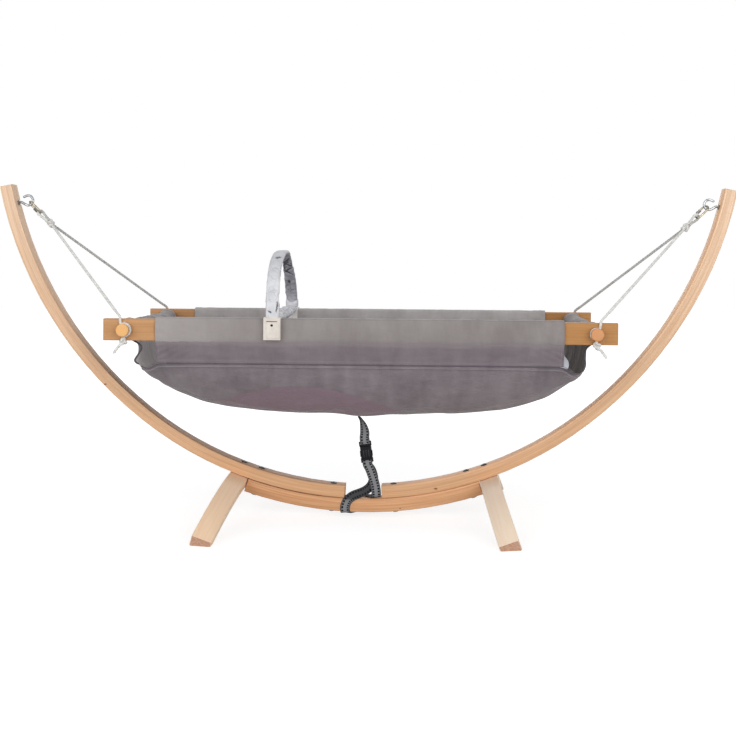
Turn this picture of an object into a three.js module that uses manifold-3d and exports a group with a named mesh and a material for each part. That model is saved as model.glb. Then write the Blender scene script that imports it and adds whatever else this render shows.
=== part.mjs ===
// Baby hammock on a bent wood stand, in millimetres.
// +X runs along the stand, +Y across it and +Z up. The origin is on the floor at the middle of the four foot ends.

import * as THREE from 'three';
import { mergeVertices } from 'three/addons/utils/BufferGeometryUtils.js';
import Module from 'manifold-3d';

const wasm = await Module();
wasm.setup();

// Driving dimensions of the stand
const standDepth = 42;
const armThickness = 31;
const beamThickness = 34;
const floorClearance = 11;
const benchRadius = 917;
const bendRadius = 996;
const bendChangeAngle = THREE.MathUtils.degToRad(36.9);
const tipAngle = THREE.MathUtils.degToRad(78.4);
const beamEndAngle = THREE.MathUtils.degToRad(18.45);
const notchHalfLength = 47;
const woodEdgeRound = 3.5;

// Driving dimensions of the feet
const footAngle = THREE.MathUtils.degToRad(20.05);
const footWidth = 48;
const footThickness = 32;
const footTopRadius = 660;
const footHalfSpan = 327;

// Driving dimensions of the stand's bolts
const boltDiameter = 8;
const boltHeadDiameter = 18;
const boltHeadHeight = 3;
const sleeveNutDiameter = 11;
const sleeveNutLength = 24;
const sleeveNutFlangeDiameter = 17;
const sleeveNutFlangeHeight = 4;
const boltEndGap = 3;
const jointBoltAngles = [4.9, 17.0].map(THREE.MathUtils.degToRad);

// Driving dimensions of the hooks and quick links
const hookAngle = THREE.MathUtils.degToRad(75.55);
const hookWire = 6.3;
const hookBend = 12.5;
const hookReach = 26;
const hookShankDepth = 24;
const hookTipAngle = THREE.MathUtils.degToRad(112);
const hookTipLength = 7;
const collarDiameter = 13;
const collarHeight = 4.5;
const linkWire = 5;
const linkInnerWidth = 14;
const linkLength = 44;
const linkTwist = THREE.MathUtils.degToRad(30);
const linkSleeveDiameter = 9.2;
const linkSleeveLength = 12;
const linkGap = 4;
const linkGapSetBack = 1;
const hookLinkPlay = 0.9;

// Driving dimensions of the ropes
const ropeDiameter = 6.5;
const loopLength = 42;
const bridleKnotDiameter = 21;
const hitchKnotDiameter = 16;
const hitchDrop = 36;
const hitchShift = 9;
const tailReach = 14;
const tailDrop = 20;
const openPivotClearance = 1.8;

// Driving dimensions of the rails and cross rods
const railHeight = 51;
const railThickness = 22;
const railHalfLength = 600;
const railCentreHeight = 481;
const cradleHalfWidth = 226;
const railEdgeRound = 1.5;
const rodSpacing = 1098;
const rodDiameter = 30;
const rodNeckDiameter = 22;
const rodNeckWidth = 15;
const rodButtonThickness = 8.5;
const rodButtonRound = 2;

// Driving dimensions of the fabric basin
const clothThickness = 2.5;
const sleeveThickness = 2;
const sleeveHalfLength = 476;
const sidePanelHeight = 49;
const panelSetBack = 10;
const basinBottomHeight = 260;
const basinReach = 546;
const profileExponent = 3.2;
const profileTopHeight = 479;
const crossExponent = 2.3;
const endSplitShare = 0.86;
const tunnelWidth = 45;
const tunnelHeight = 41;
const tunnelEndGap = 2;
const strapTugDepth = 7;
const strapTugLength = 38;
const edgeWaveDepth = 3;

// Driving dimensions of the toy bow
const bowPlace = -208;
const bowSkew = 7;
const bowTopHeight = 664;
const bowStripWidth = 24;
const bowStripThickness = 3;
const bowCoverWidth = 30;
const bowCoverThickness = 10;
const clampWidth = 39;
const clampWall = 3;
const clampDrop = 45;
const clampRise = 7;
const clampPocketDepth = 36;
const clampScrewHeadDiameter = 6;
const clampScrewDiameter = 3;
const crossStrapWidth = 37;
const crossStrapThickness = 6;
const crossStrapSag = 4;

// Driving dimensions of the safety strap
const webbingWidth = 24;
const webbingThickness = 1.6;
const buckleWidth = 31;
const buckleHeight = 40;
const buckleThickness = 9;
const buckleWall = 2.2;
const plugFrameHeight = 13;
const plugFrameThickness = 5;
const plugTongueWidth = 18;
const plugTongueLength = 26;
const buckleAcross = 7;
const buckleForward = -5;
const buckleCentreHeight = 155;
const strapStart = -15;
const beltReach = 33;

// Clearances and counts
const seatGap = 0.3;
const holeClearance = 0.3;
const overrun = 5;
const arcStep = THREE.MathUtils.degToRad(3);
const roundSides = 12;
const ropeSides = 8;
const rodSides = 20;
const woodEdgeSteps = 2;

// Shared helpers
const tau = Math.PI * 2;
const part = new THREE.Group();

function finish(color, roughness, metalness = 0) {
  return { color, roughness, metalness };
}

const finishes = {
  stand: finish(0xe0bd98, 0.55),
  rail: finish(0xbd8c5a, 0.5),
  rod: finish(0xe9b984, 0.5),
  steel: finish(0xc4c6c8, 0.3, 1),
  darkSteel: finish(0x4b4a48, 0.45, 0.8),
  rope: finish(0xe4e3df, 0.9),
  sleeveCloth: finish(0x99938f, 0.85),
  bodyCloth: finish(0x7b7077, 0.85),
  bowCloth: finish(0xdcdbe0, 0.9),
  clamp: finish(0xe6ddd2, 0.6),
  strip: finish(0xd8d8d4, 0.6),
  webbing: finish(0x6b6c6e, 0.9),
  buckle: finish(0x1d1e21, 0.45),
};

function place(name, geometry, look, parent = part) {
  const mesh = new THREE.Mesh(geometry, new THREE.MeshStandardMaterial(look));
  mesh.name = name;
  parent.add(mesh);
  return mesh;
}

function toSolid(geometry) {
  const bare = geometry.clone();
  bare.deleteAttribute('normal');
  bare.deleteAttribute('uv');
  const merged = mergeVertices(bare);
  const vertProperties = new Float32Array(merged.attributes.position.array);
  const triVerts = new Uint32Array(merged.index.array);
  return new wasm.Manifold(new wasm.Mesh({ numProp: 3, vertProperties, triVerts }));
}

function toGeometry(solid) {
  const mesh = solid.getMesh();
  const geometry = new THREE.BufferGeometry();
  geometry.setAttribute('position', new THREE.BufferAttribute(mesh.vertProperties, 3));
  geometry.setIndex(new THREE.BufferAttribute(mesh.triVerts, 1));
  geometry.computeVertexNormals();
  return geometry;
}

function cut(geometry, ...tools) {
  let solid = toSolid(geometry);
  for (const tool of tools) {
    solid = solid.subtract(toSolid(tool));
  }
  return toGeometry(solid);
}

function join(...geometries) {
  let solid = toSolid(geometries[0]);
  for (const geometry of geometries.slice(1)) {
    solid = solid.add(toSolid(geometry));
  }
  return toGeometry(solid);
}

function block(width, depth, height, x = 0, y = 0, z = 0) {
  return new THREE.BoxGeometry(width, depth, height).translate(x, y, z);
}

// A cylinder along Z whose top and bottom are at the two heights
function pillar(diameter, bottom, top, sides = roundSides) {
  const radius = diameter / 2;
  const cylinder = new THREE.CylinderGeometry(radius, radius, top - bottom, sides);
  return cylinder.rotateX(Math.PI / 2).translate(0, 0, (top + bottom) / 2);
}

// A solid of revolution about Z; the profile is a list of radius and height pairs
function turned(profile, sides = roundSides) {
  const points = profile.map(([radius, height]) => new THREE.Vector2(radius, height));
  return new THREE.LatheGeometry(points, sides).rotateX(Math.PI / 2);
}

// An outline in X and Z, made solid across Y with rounded edges
function slab(outline, depth, edgeRound, edgeSteps = 1) {
  const shape = new THREE.Shape(outline.map(([x, z]) => new THREE.Vector2(x, z)));
  const solid = new THREE.ExtrudeGeometry(shape, {
    depth: depth - 2 * edgeRound,
    bevelThickness: edgeRound,
    bevelSize: edgeRound,
    bevelOffset: -edgeRound,
    bevelSegments: edgeSteps,
  });
  solid.translate(0, 0, edgeRound - depth / 2);
  return solid.rotateX(Math.PI / 2);
}

function oval(width, height, sides) {
  return Array.from({ length: sides }, (_, side) => {
    const angle = (tau * side) / sides;
    return new THREE.Vector2((width / 2) * Math.cos(angle), (height / 2) * Math.sin(angle));
  });
}

// A round tube through its stops, with the same count of rings between each two of them
function tube(stops, diameter, ringsBetween, sides = ropeSides) {
  const line = new THREE.CatmullRomCurve3(stops);
  const count = ringsBetween * (stops.length - 1);
  const rings = [];
  const side = new THREE.Vector3();
  for (let step = 0; step <= count; step += 1) {
    const spot = line.getPoint(step / count);
    const ahead = line.getTangent(step / count);
    if (step === 0) {
      side.set(1, 0, 0);
      if (Math.abs(ahead.x) > Math.abs(ahead.y)) {
        side.set(0, 1, 0);
      }
    }
    side.addScaledVector(ahead, -side.dot(ahead)).normalize();
    const up = new THREE.Vector3().crossVectors(ahead, side);
    rings.push(oval(diameter, diameter, sides).map((point) => spot.clone()
      .addScaledVector(side, point.x)
      .addScaledVector(up, point.y)));
  }
  return loft(rings);
}

// A closed body through rings of points, with flat ends
function loft(rings) {
  const count = rings[0].length;
  const positions = rings.flat().flatMap((point) => [point.x, point.y, point.z]);
  const faces = [];
  for (let ring = 0; ring + 1 < rings.length; ring += 1) {
    for (let side = 0; side < count; side += 1) {
      const here = ring * count + side;
      const next = ring * count + ((side + 1) % count);
      faces.push(here, next, next + count, here, next + count, here + count);
    }
  }
  const last = (rings.length - 1) * count;
  for (let side = 1; side + 1 < count; side += 1) {
    faces.push(0, side + 1, side, last, last + side, last + side + 1);
  }
  const geometry = new THREE.BufferGeometry();
  geometry.setAttribute('position', new THREE.Float32BufferAttribute(positions, 3));
  geometry.setIndex(faces);
  geometry.computeVertexNormals();
  return geometry;
}

// A flat strip along a route; each stop is a place and the direction of the strip's width
function ribbon(stops, width, thickness, steps) {
  const line = new THREE.CatmullRomCurve3(stops.map(([spot]) => new THREE.Vector3(...spot)));
  const across = new THREE.CatmullRomCurve3(stops.map(([, side]) => new THREE.Vector3(...side)));
  const rings = [];
  for (let step = 0; step <= steps; step += 1) {
    const spot = line.getPoint(step / steps);
    const ahead = line.getTangent(step / steps);
    const side = across.getPoint(step / steps);
    side.addScaledVector(ahead, -side.dot(ahead)).normalize();
    const face = new THREE.Vector3().crossVectors(ahead, side);
    const corner = (s, f) => spot.clone()
      .addScaledVector(side, (s * width) / 2)
      .addScaledVector(face, (f * thickness) / 2);
    rings.push([corner(-1, -1), corner(1, -1), corner(1, 1), corner(-1, 1)]);
  }
  return loft(rings);
}

// Stand: places round the bend
const facetRise = benchRadius * (1 - Math.cos(arcStep / 2));
const seatRadius = benchRadius + seatGap + facetRise;
const benchCentreHeight = floorClearance + beamThickness + seatRadius;
const notchAngle = Math.asin(notchHalfLength / benchRadius);

// A point on an arm's convex face, or above it by the inset, at an angle from the lowest point
function armPoint(side, angle, inset) {
  const shift = angle > bendChangeAngle ? bendRadius - benchRadius : 0;
  const radius = benchRadius + shift - inset;
  const x = radius * Math.sin(angle) - shift * Math.sin(bendChangeAngle);
  const z = benchCentreHeight + shift * Math.cos(bendChangeAngle) - radius * Math.cos(angle);
  return [side * x, z];
}

function angleSteps(from, to) {
  const count = Math.ceil((to - from) / arcStep);
  return Array.from({ length: count + 1 }, (_, step) => from + ((to - from) * step) / count);
}

function bentOutline(side, from, to, lowerInset, upperInset) {
  const angles = angleSteps(from, to);
  const lower = angles.map((angle) => armPoint(side, angle, lowerInset));
  const upper = angles.map((angle) => armPoint(side, angle, upperInset));
  return [...lower, ...upper.reverse()];
}

// A group whose Z axis points from the bend to its centre at an angle round it
function station(side, angle) {
  const group = new THREE.Group();
  group.position.set(0, 0, benchCentreHeight);
  group.rotation.y = -side * angle;
  group.updateMatrixWorld();
  part.add(group);
  return group;
}

function atStation(geometry, group) {
  return geometry.applyMatrix4(group.matrixWorld);
}

// Bolts with low heads and sleeve nuts
const armInnerFace = -(benchRadius - armThickness);
const seatFace = -seatRadius;
const shankHole = boltDiameter + 2 * holeClearance;
const sleeveHole = sleeveNutDiameter + 2 * holeClearance;

function boltHoles(group, underside) {
  const shank = pillar(shankHole, underside - overrun, armInnerFace + overrun);
  const sleeve = pillar(sleeveHole, underside - overrun, underside + sleeveNutLength + boltEndGap);
  return [atStation(shank, group), atStation(sleeve, group)];
}

function addBolt(name, group, underside) {
  const headRadius = boltHeadDiameter / 2;
  const shankRadius = boltDiameter / 2;
  const headBase = armInnerFace + seatGap + facetRise;
  const shankEnd = underside + boltEndGap;
  place(`${name}_bolt`, turned([
    [0, shankEnd],
    [shankRadius, shankEnd],
    [shankRadius, headBase],
    [headRadius, headBase],
    [headRadius, headBase + boltHeadHeight / 2],
    [headRadius * 0.7, headBase + boltHeadHeight],
    [0, headBase + boltHeadHeight],
  ]), finishes.darkSteel, group);
  const flangeTop = underside - seatGap;
  const flangeRadius = sleeveNutFlangeDiameter / 2;
  const boreRadius = shankHole / 2;
  place(`${name}_sleeve_nut`, turned([
    [0, flangeTop - sleeveNutFlangeHeight],
    [flangeRadius * 0.8, flangeTop - sleeveNutFlangeHeight],
    [flangeRadius, flangeTop - sleeveNutFlangeHeight / 2],
    [flangeRadius, flangeTop],
    [sleeveNutDiameter / 2, flangeTop],
    [sleeveNutDiameter / 2, underside + sleeveNutLength],
    [boreRadius, underside + sleeveNutLength],
    [boreRadius, shankEnd - seatGap],
    [0, shankEnd - seatGap],
  ]), finishes.darkSteel, group);
}

// Hooks: the wire leaves the arm square to its inner face and curls into a C
function hookFrame(side) {
  const [x, z] = armPoint(side, hookAngle, armThickness);
  const face = new THREE.Vector3(x, 0, z);
  const out = new THREE.Vector3(-side * Math.sin(hookAngle), 0, Math.cos(hookAngle));
  const up = new THREE.Vector3(side * Math.cos(hookAngle), 0, Math.sin(hookAngle));
  const at = (along, above) => face.clone().addScaledVector(out, along).addScaledVector(up, above);
  return { out, at, centre: at(hookReach, 0) };
}

function hookPath(side) {
  const { at } = hookFrame(side);
  const neck = collarHeight + hookWire / 2;
  const points = [
    at(-hookShankDepth, 0),
    at(-hookShankDepth / 2, 0),
    at(0, 0),
    at(neck, 0),
    at(neck + hookWire, -hookBend * 0.45),
  ];
  for (let angle = -Math.PI * 0.62; angle <= hookTipAngle; angle += Math.PI / 9) {
    points.push(at(hookReach + hookBend * Math.cos(angle), hookBend * Math.sin(angle)));
  }
  const tip = points.at(-1).clone();
  const back = tip.clone().sub(points.at(-2)).normalize();
  points.push(tip.addScaledVector(back, hookTipLength));
  return points;
}

function addHook(side, word) {
  const { out, at } = hookFrame(side);
  place(`${word}_hook`, tube(hookPath(side), hookWire, 2), finishes.steel);
  const collar = cut(
    pillar(collarDiameter, seatGap, seatGap + collarHeight, 6),
    pillar(hookWire + 4 * holeClearance, -overrun, collarHeight + overrun),
  );
  const mesh = place(`${word}_hook_collar`, collar, finishes.steel);
  mesh.position.copy(at(0, 0));
  mesh.quaternion.setFromUnitVectors(new THREE.Vector3(0, 0, 1), out);
}

function hookHole(side) {
  const { out, at } = hookFrame(side);
  const drill = pillar(hookWire + 2 * holeClearance, -hookShankDepth - seatGap, overrun);
  drill.applyQuaternion(new THREE.Quaternion().setFromUnitVectors(new THREE.Vector3(0, 0, 1), out));
  return drill.translate(...at(0, 0).toArray());
}

// Arms, centre beam and feet
function addStand() {
  const beamUnderside = seatFace - beamThickness;
  const footUnderside = seatFace - footThickness;
  const beamHoles = [];
  for (const [side, word] of [[-1, 'left'], [1, 'right']]) {
    const holes = [hookHole(side)];
    const spots = [['inner_joint', jointBoltAngles[0]], ['outer_joint', jointBoltAngles[1]]];
    for (const [spot, angle] of spots) {
      const group = station(side, angle);
      const drilled = boltHoles(group, beamUnderside);
      holes.push(drilled[0]);
      beamHoles.push(...drilled);
      addBolt(`${word}_${spot}`, group, beamUnderside);
    }
    const footGroup = station(side, footAngle);
    const footHoles = boltHoles(footGroup, footUnderside);
    holes.push(footHoles[0]);
    addBolt(`${word}_foot`, footGroup, footUnderside);
    addFoot(word, footGroup, footHoles);
    const outline = bentOutline(side, notchAngle, tipAngle, 0, armThickness);
    place(`${word}_arm`, cut(slab(outline, standDepth, woodEdgeRound, woodEdgeSteps), ...holes), finishes.stand);
    addHook(side, word);
  }
  const beamAngles = angleSteps(-beamEndAngle, beamEndAngle);
  const beamEdge = (radius) => beamAngles.map((angle) => [
    radius * Math.sin(angle),
    benchCentreHeight - radius * Math.cos(angle),
  ]);
  const beamOutline = [...beamEdge(seatRadius + beamThickness), ...beamEdge(seatRadius).reverse()];
  const beam = slab(beamOutline, standDepth, woodEdgeRound, woodEdgeSteps);
  place('centre_beam', cut(beam, ...beamHoles), finishes.stand);
}

// A foot is a shallow arch across the stand, square to the bend, trimmed flat on the floor
function addFoot(word, group, holes) {
  const endAngle = Math.asin(footHalfSpan / footTopRadius);
  const centre = seatFace - footTopRadius;
  const steps = 2 * Math.ceil(endAngle / arcStep);
  const angles = Array.from({ length: steps + 1 }, (_, step) => endAngle * ((2 * step) / steps - 1));
  const edge = (radius) => angles.map((angle) => [radius * Math.sin(angle), centre + radius * Math.cos(angle)]);
  const outline = [...edge(footTopRadius), ...edge(footTopRadius - footThickness).reverse()];
  const arch = slab(outline, footWidth, woodEdgeRound, woodEdgeSteps).rotateZ(Math.PI / 2);
  const span = 2 * (footHalfSpan + overrun);
  const floor = block(benchRadius, span, footTopRadius, Math.sign(group.rotation.y) * -benchRadius / 2, 0,
    -footTopRadius / 2);
  const trimmed = cut(atStation(arch, group), floor, ...holes);
  place(`${word}_foot`, trimmed, finishes.stand);
}

// Cradle: places that ropes, rods and rails share
const railOuterFace = cradleHalfWidth;
const railInnerFace = cradleHalfWidth - railThickness;
const railTop = railCentreHeight + railHeight / 2;
const railBottom = railCentreHeight - railHeight / 2;
const rodPlace = rodSpacing / 2;
const neckStart = railOuterFace + seatGap;
const neckEnd = neckStart + rodNeckWidth;
const rodEnd = neckEnd + rodButtonThickness;

// The line of pull from the hook's curl to the cross rod, and the link's and loop's places on it
function pull(side, clearance) {
  const { centre } = hookFrame(side);
  const rod = new THREE.Vector3(side * rodPlace, 0, railCentreHeight);
  const along = rod.clone().sub(centre).normalize();
  const level = new THREE.Vector3().crossVectors(new THREE.Vector3(0, 1, 0), along);
  const wide = new THREE.Vector3(0, Math.cos(linkTwist), 0).addScaledVector(level, Math.sin(linkTwist));
  const flat = new THREE.Vector3().crossVectors(along, wide);
  const bowTop = centre.clone()
    .addScaledVector(along, hookBend - hookWire / 2 - hookLinkPlay - linkWire / 2);
  const pivot = bowTop.clone().addScaledVector(along, linkLength - linkWire);
  const knot = pivot.clone().addScaledVector(along, loopLength);
  const loopRadius = linkWire / 2 + clearance + ropeDiameter / 2;
  return { along, wide, flat, bowTop, pivot, knot, loopRadius };
}

// Quick links: an oval of wire with a gap that a screw sleeve closes
function addLink(side, word) {
  const { along, wide, flat, bowTop } = pull(side, seatGap);
  const halfWidth = (linkInnerWidth + linkWire) / 2;
  const straight = linkLength - linkWire - 2 * halfWidth;
  const middle = bowTop.clone().addScaledVector(along, (linkLength - linkWire) / 2);
  const at = (a, w) => middle.clone().addScaledVector(along, a).addScaledVector(wide, w);
  const gapStart = straight / 2 - linkGapSetBack - linkGap;
  const points = [at(gapStart, halfWidth), at(-straight / 4, halfWidth), at(-straight / 2, halfWidth)];
  const bowSteps = 7;
  for (let step = 1; step <= bowSteps; step += 1) {
    const angle = (Math.PI * step) / bowSteps;
    points.push(at(-straight / 2 - halfWidth * Math.sin(angle), halfWidth * Math.cos(angle)));
  }
  points.push(at(0, -halfWidth));
  for (let step = 0; step <= bowSteps; step += 1) {
    const angle = (Math.PI * step) / bowSteps;
    points.push(at(straight / 2 + halfWidth * Math.sin(angle), -halfWidth * Math.cos(angle)));
  }
  points.push(at(gapStart + linkGap, halfWidth));
  place(`${word}_quick_link`, tube(points, linkWire, 1), finishes.steel);
  const sleeve = cut(
    pillar(linkSleeveDiameter, -linkSleeveLength / 2, linkSleeveLength / 2, 6),
    pillar(linkWire + 2 * holeClearance, -linkSleeveLength, linkSleeveLength),
  );
  const mesh = place(`${word}_link_sleeve`, sleeve, finishes.steel);
  mesh.position.copy(at(straight / 2 - linkSleeveLength / 2, halfWidth));
  mesh.quaternion.setFromRotationMatrix(new THREE.Matrix4().makeBasis(wide, flat, along));
}

// Ropes: a loop through the link, a knot, and two legs that are hitched round the cross rod's necks
function ball(diameter, centre) {
  return new THREE.SphereGeometry(diameter / 2, ropeSides + 2, ropeSides - 2).translate(...centre.toArray());
}

function ropeLeg(side, face, knot) {
  const half = ropeDiameter / 2;
  const legLine = face * (railOuterFace + seatGap + half);
  const neck = rodNeckDiameter / 2 + 3 * seatGap + half;
  const hitch = new THREE.Vector3(side * (rodPlace + hitchShift), legLine, railCentreHeight - hitchDrop);
  const edge = new THREE.Vector3(side * (rodPlace + neck + half), legLine + face * half / 2,
    railTop + ropeDiameter);
  const beside = new THREE.Vector3(side * (rodPlace + neck), legLine, railCentreHeight);
  const run = knot.clone().lerp(edge, 0.5);
  const close = knot.clone().lerp(edge, 0.94);
  const leg = tube([knot, run, close, edge, beside, hitch], ropeDiameter, 2);
  const hitchLine = legLine + face * (ropeDiameter + seatGap);
  const loopSteps = 8;
  const turn = [];
  for (let step = 0; step <= loopSteps; step += 1) {
    const angle = Math.PI * (1.12 - (1.24 * step) / loopSteps);
    const x = side * (rodPlace - neck * Math.cos(angle));
    turn.push(new THREE.Vector3(x, hitchLine, railCentreHeight + neck * Math.sin(angle)));
  }
  const loop = tube([hitch, ...turn, hitch], ropeDiameter, 1);
  const tailEnd = new THREE.Vector3(hitch.x + side * tailReach, hitchLine + face * half, hitch.z - tailDrop);
  const tail = tube([hitch, hitch.clone().lerp(tailEnd, 0.5), tailEnd], ropeDiameter, 1);
  return [leg, loop, tail, ball(hitchKnotDiameter, hitch.clone().setY((legLine + hitchLine) / 2))];
}

function addRope(side, word, clearance) {
  const { along, flat, pivot, knot, loopRadius } = pull(side, clearance);
  const at = (a, f) => pivot.clone().addScaledVector(along, a).addScaledVector(flat, f);
  const points = [at(loopLength, ropeDiameter / 2), at(loopLength / 2, loopRadius * 0.85)];
  const bendSteps = 6;
  for (let step = 0; step <= bendSteps; step += 1) {
    const angle = (Math.PI * step) / bendSteps;
    points.push(at(-loopRadius * Math.sin(angle), loopRadius * Math.cos(angle)));
  }
  points.push(at(loopLength / 2, -loopRadius * 0.85), at(loopLength, -ropeDiameter / 2));
  const legs = [-1, 1].flatMap((face) => ropeLeg(side, face, knot));
  place(`${word}_rope`, join(tube(points, ropeDiameter, 1), ball(bridleKnotDiameter, knot), ...legs),
    finishes.rope);
}

// Rails and cross rods
function addRailsAndRods() {
  const bore = () => pillar(rodDiameter + 2 * holeClearance, -railThickness, railThickness, rodSides).rotateX(Math.PI / 2);
  for (const [face, word] of [[-1, 'near'], [1, 'far']]) {
    const outline = [
      [-railHalfLength, -railHeight / 2],
      [railHalfLength, -railHeight / 2],
      [railHalfLength, railHeight / 2],
      [-railHalfLength, railHeight / 2],
    ];
    const rail = cut(
      slab(outline, railThickness, railEdgeRound),
      bore().translate(-rodPlace, 0, 0),
      bore().translate(rodPlace, 0, 0),
    );
    const mesh = place(`${word}_rail`, rail, finishes.rail);
    mesh.position.set(0, face * (railOuterFace - railThickness / 2), railCentreHeight);
  }
  const radius = rodDiameter / 2;
  const neckRadius = rodNeckDiameter / 2;
  const half = [
    [radius, neckStart],
    [neckRadius, neckStart],
    [neckRadius, neckEnd],
    [radius, neckEnd],
    [radius, rodEnd - rodButtonRound],
    [radius - rodButtonRound, rodEnd],
    [0, rodEnd],
  ];
  const otherHalf = half.map(([r, y]) => [r, -y]).reverse();
  for (const [side, word] of [[-1, 'left'], [1, 'right']]) {
    const rod = turned([...otherHalf, ...half], rodSides).rotateX(Math.PI / 2);
    const mesh = place(`${word}_cross_rod`, rod, finishes.rod);
    mesh.position.set(side * rodPlace, 0, railCentreHeight);
  }
}

// Fabric sleeves round the rails, with a side panel below each
const sleeveDepth = railThickness + 2 * (seatGap + sleeveThickness);
const sleeveHeight = railHeight + 2 * (seatGap + sleeveThickness);
const sleeveBottom = railCentreHeight - sleeveHeight / 2;
const seamHeight = sleeveBottom - seatGap - sidePanelHeight;
const seamLine = railOuterFace - panelSetBack;

function addSleevesAndSides() {
  for (const [face, word] of [[-1, 'near'], [1, 'far']]) {
    const length = 2 * sleeveHalfLength;
    const sleeve = cut(
      block(length, sleeveDepth, sleeveHeight),
      block(length + overrun, railThickness + 2 * seatGap, railHeight + 2 * seatGap),
    );
    const mesh = place(`${word}_rail_sleeve`, sleeve, finishes.sleeveCloth);
    mesh.position.set(0, face * (railOuterFace - railThickness / 2), railCentreHeight);
    const panel = place(`${word}_side_panel`, block(length, clothThickness, sidePanelHeight), finishes.bodyCloth);
    panel.position.set(0, face * seamLine, sleeveBottom - seatGap - sidePanelHeight / 2);
  }
}

// The long panel of the basin hangs from rod to rod; one half of its middle line is a superellipse
const basinDepth = profileTopHeight - basinBottomHeight;
const tunnelCentreHeight = railCentreHeight + rodDiameter / 2 + 2 * seatGap + clothThickness - tunnelHeight / 2;
const tunnelBottom = tunnelCentreHeight - tunnelHeight / 2;
const clothTop = tunnelBottom - 2 * seatGap;

function middleLine() {
  const points = [];
  const count = 24;
  for (let step = 0; step <= count; step += 1) {
    const angle = (Math.PI / 2) * (1 - step / count);
    const x = basinReach * Math.cos(angle) ** (2 / profileExponent);
    const z = profileTopHeight - basinDepth * Math.sin(angle) ** (2 / profileExponent);
    if (z < clothTop) {
      points.push(new THREE.Vector3(x, 0, z));
    }
  }
  points.push(new THREE.Vector3(basinReach, 0, clothTop));
  return new THREE.CatmullRomCurve3(points);
}

// The free edge follows the side panel's seam, dips at the open corner and rises to the rod;
// its shares are of the basin's reach, the seam's distance from the middle, and the drop from rod to seam
const edgeShares = [
  [0, 1, 1],
  [0.3, 1, 1],
  [0.6, 1, 1],
  [0.8, 1, 1.02],
  [0.872, 0.985, 1.06],
  [0.915, 0.95, 1.3],
  [0.95, 0.92, 1.24],
  [0.968, 0.9, 0.95],
  [0.968, 0.89, 0.6],
  [0.972, 0.89, 0.25],
  [1, 0.89, 0],
];

function edgeLine() {
  const drop = clothTop - (seamHeight - seatGap - clothThickness);
  const point = ([x, y, z]) => new THREE.Vector3(x * basinReach, y * seamLine, clothTop - z * drop);
  return new THREE.CatmullRomCurve3(edgeShares.map(point));
}

const middle = middleLine();
const edge = edgeLine();

// A point of the cloth: along from -1 to 1 is rod to rod, across from -1 to 1 is edge to edge
function clothPoint(along, across) {
  const share = Math.min(Math.abs(along), 1);
  const inner = middle.getPointAt(share);
  const outer = edge.getPointAt(share);
  const lift = Math.abs(across) ** crossExponent;
  const point = inner.clone().lerp(outer, lift);
  point.y = across * outer.y;
  const tug = strapTugDepth * Math.exp(-(((along * basinReach) / strapTugLength) ** 2)) * (1 - across ** 2);
  const wave = edgeWaveDepth * Math.sin(along * Math.PI * 11) * across ** 2 * (1 - across ** 2) * 4;
  point.z += -tug + wave * (1 - share ** 4);
  point.x *= Math.sign(along) || 1;
  return point;
}

// A panel of the cloth with its thickness laid on the inner side
function clothPanel(from, to, alongSteps, acrossSteps) {
  const nudge = 1e-3;
  const rings = [];
  for (let i = 0; i <= alongSteps; i += 1) {
    const along = from + ((to - from) * i) / alongSteps;
    const faces = [[], []];
    for (let j = 0; j <= acrossSteps; j += 1) {
      const across = (2 * j) / acrossSteps - 1;
      const point = clothPoint(along, across);
      const ahead = clothPoint(Math.min(along + nudge, 1), across).sub(clothPoint(Math.max(along - nudge, -1), across));
      const aside = clothPoint(along, Math.min(across + nudge, 1)).sub(clothPoint(along, Math.max(across - nudge, -1)));
      const inward = new THREE.Vector3().crossVectors(ahead, aside).normalize();
      faces[0].push(point.clone().addScaledVector(inward, -clothThickness / 2));
      faces[1].push(point.clone().addScaledVector(inward, clothThickness / 2));
    }
    rings.push([...faces[0], ...faces[1].reverse()]);
  }
  return rings;
}

// Rings of a flat loop need strips at their ends instead of a fan
function clothSolid(from, to, alongSteps, acrossSteps) {
  const rings = clothPanel(from, to, alongSteps, acrossSteps);
  const count = rings[0].length;
  const positions = rings.flat().flatMap((point) => [point.x, point.y, point.z]);
  const faces = [];
  for (let ring = 0; ring + 1 < rings.length; ring += 1) {
    for (let side = 0; side < count; side += 1) {
      const here = ring * count + side;
      const next = ring * count + ((side + 1) % count);
      faces.push(here, next, next + count, here, next + count, here + count);
    }
  }
  const last = (rings.length - 1) * count;
  for (let side = 0; side < acrossSteps; side += 1) {
    const other = count - 1 - side;
    faces.push(side, other, side + 1, side + 1, other, other - 1);
    faces.push(last + side, last + side + 1, last + other);
    faces.push(last + side + 1, last + other - 1, last + other);
  }
  const geometry = new THREE.BufferGeometry();
  geometry.setAttribute('position', new THREE.Float32BufferAttribute(positions, 3));
  geometry.setIndex(faces);
  geometry.computeVertexNormals();
  return geometry;
}

function ovalTube(width, height, wall, length) {
  const shape = new THREE.Shape(oval(width, height, rodSides));
  shape.holes.push(new THREE.Path(oval(width - 2 * wall, height - 2 * wall, rodSides)));
  const solid = new THREE.ExtrudeGeometry(shape, { depth: length, bevelEnabled: false });
  return solid.translate(0, 0, -length / 2).rotateX(Math.PI / 2);
}

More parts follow.
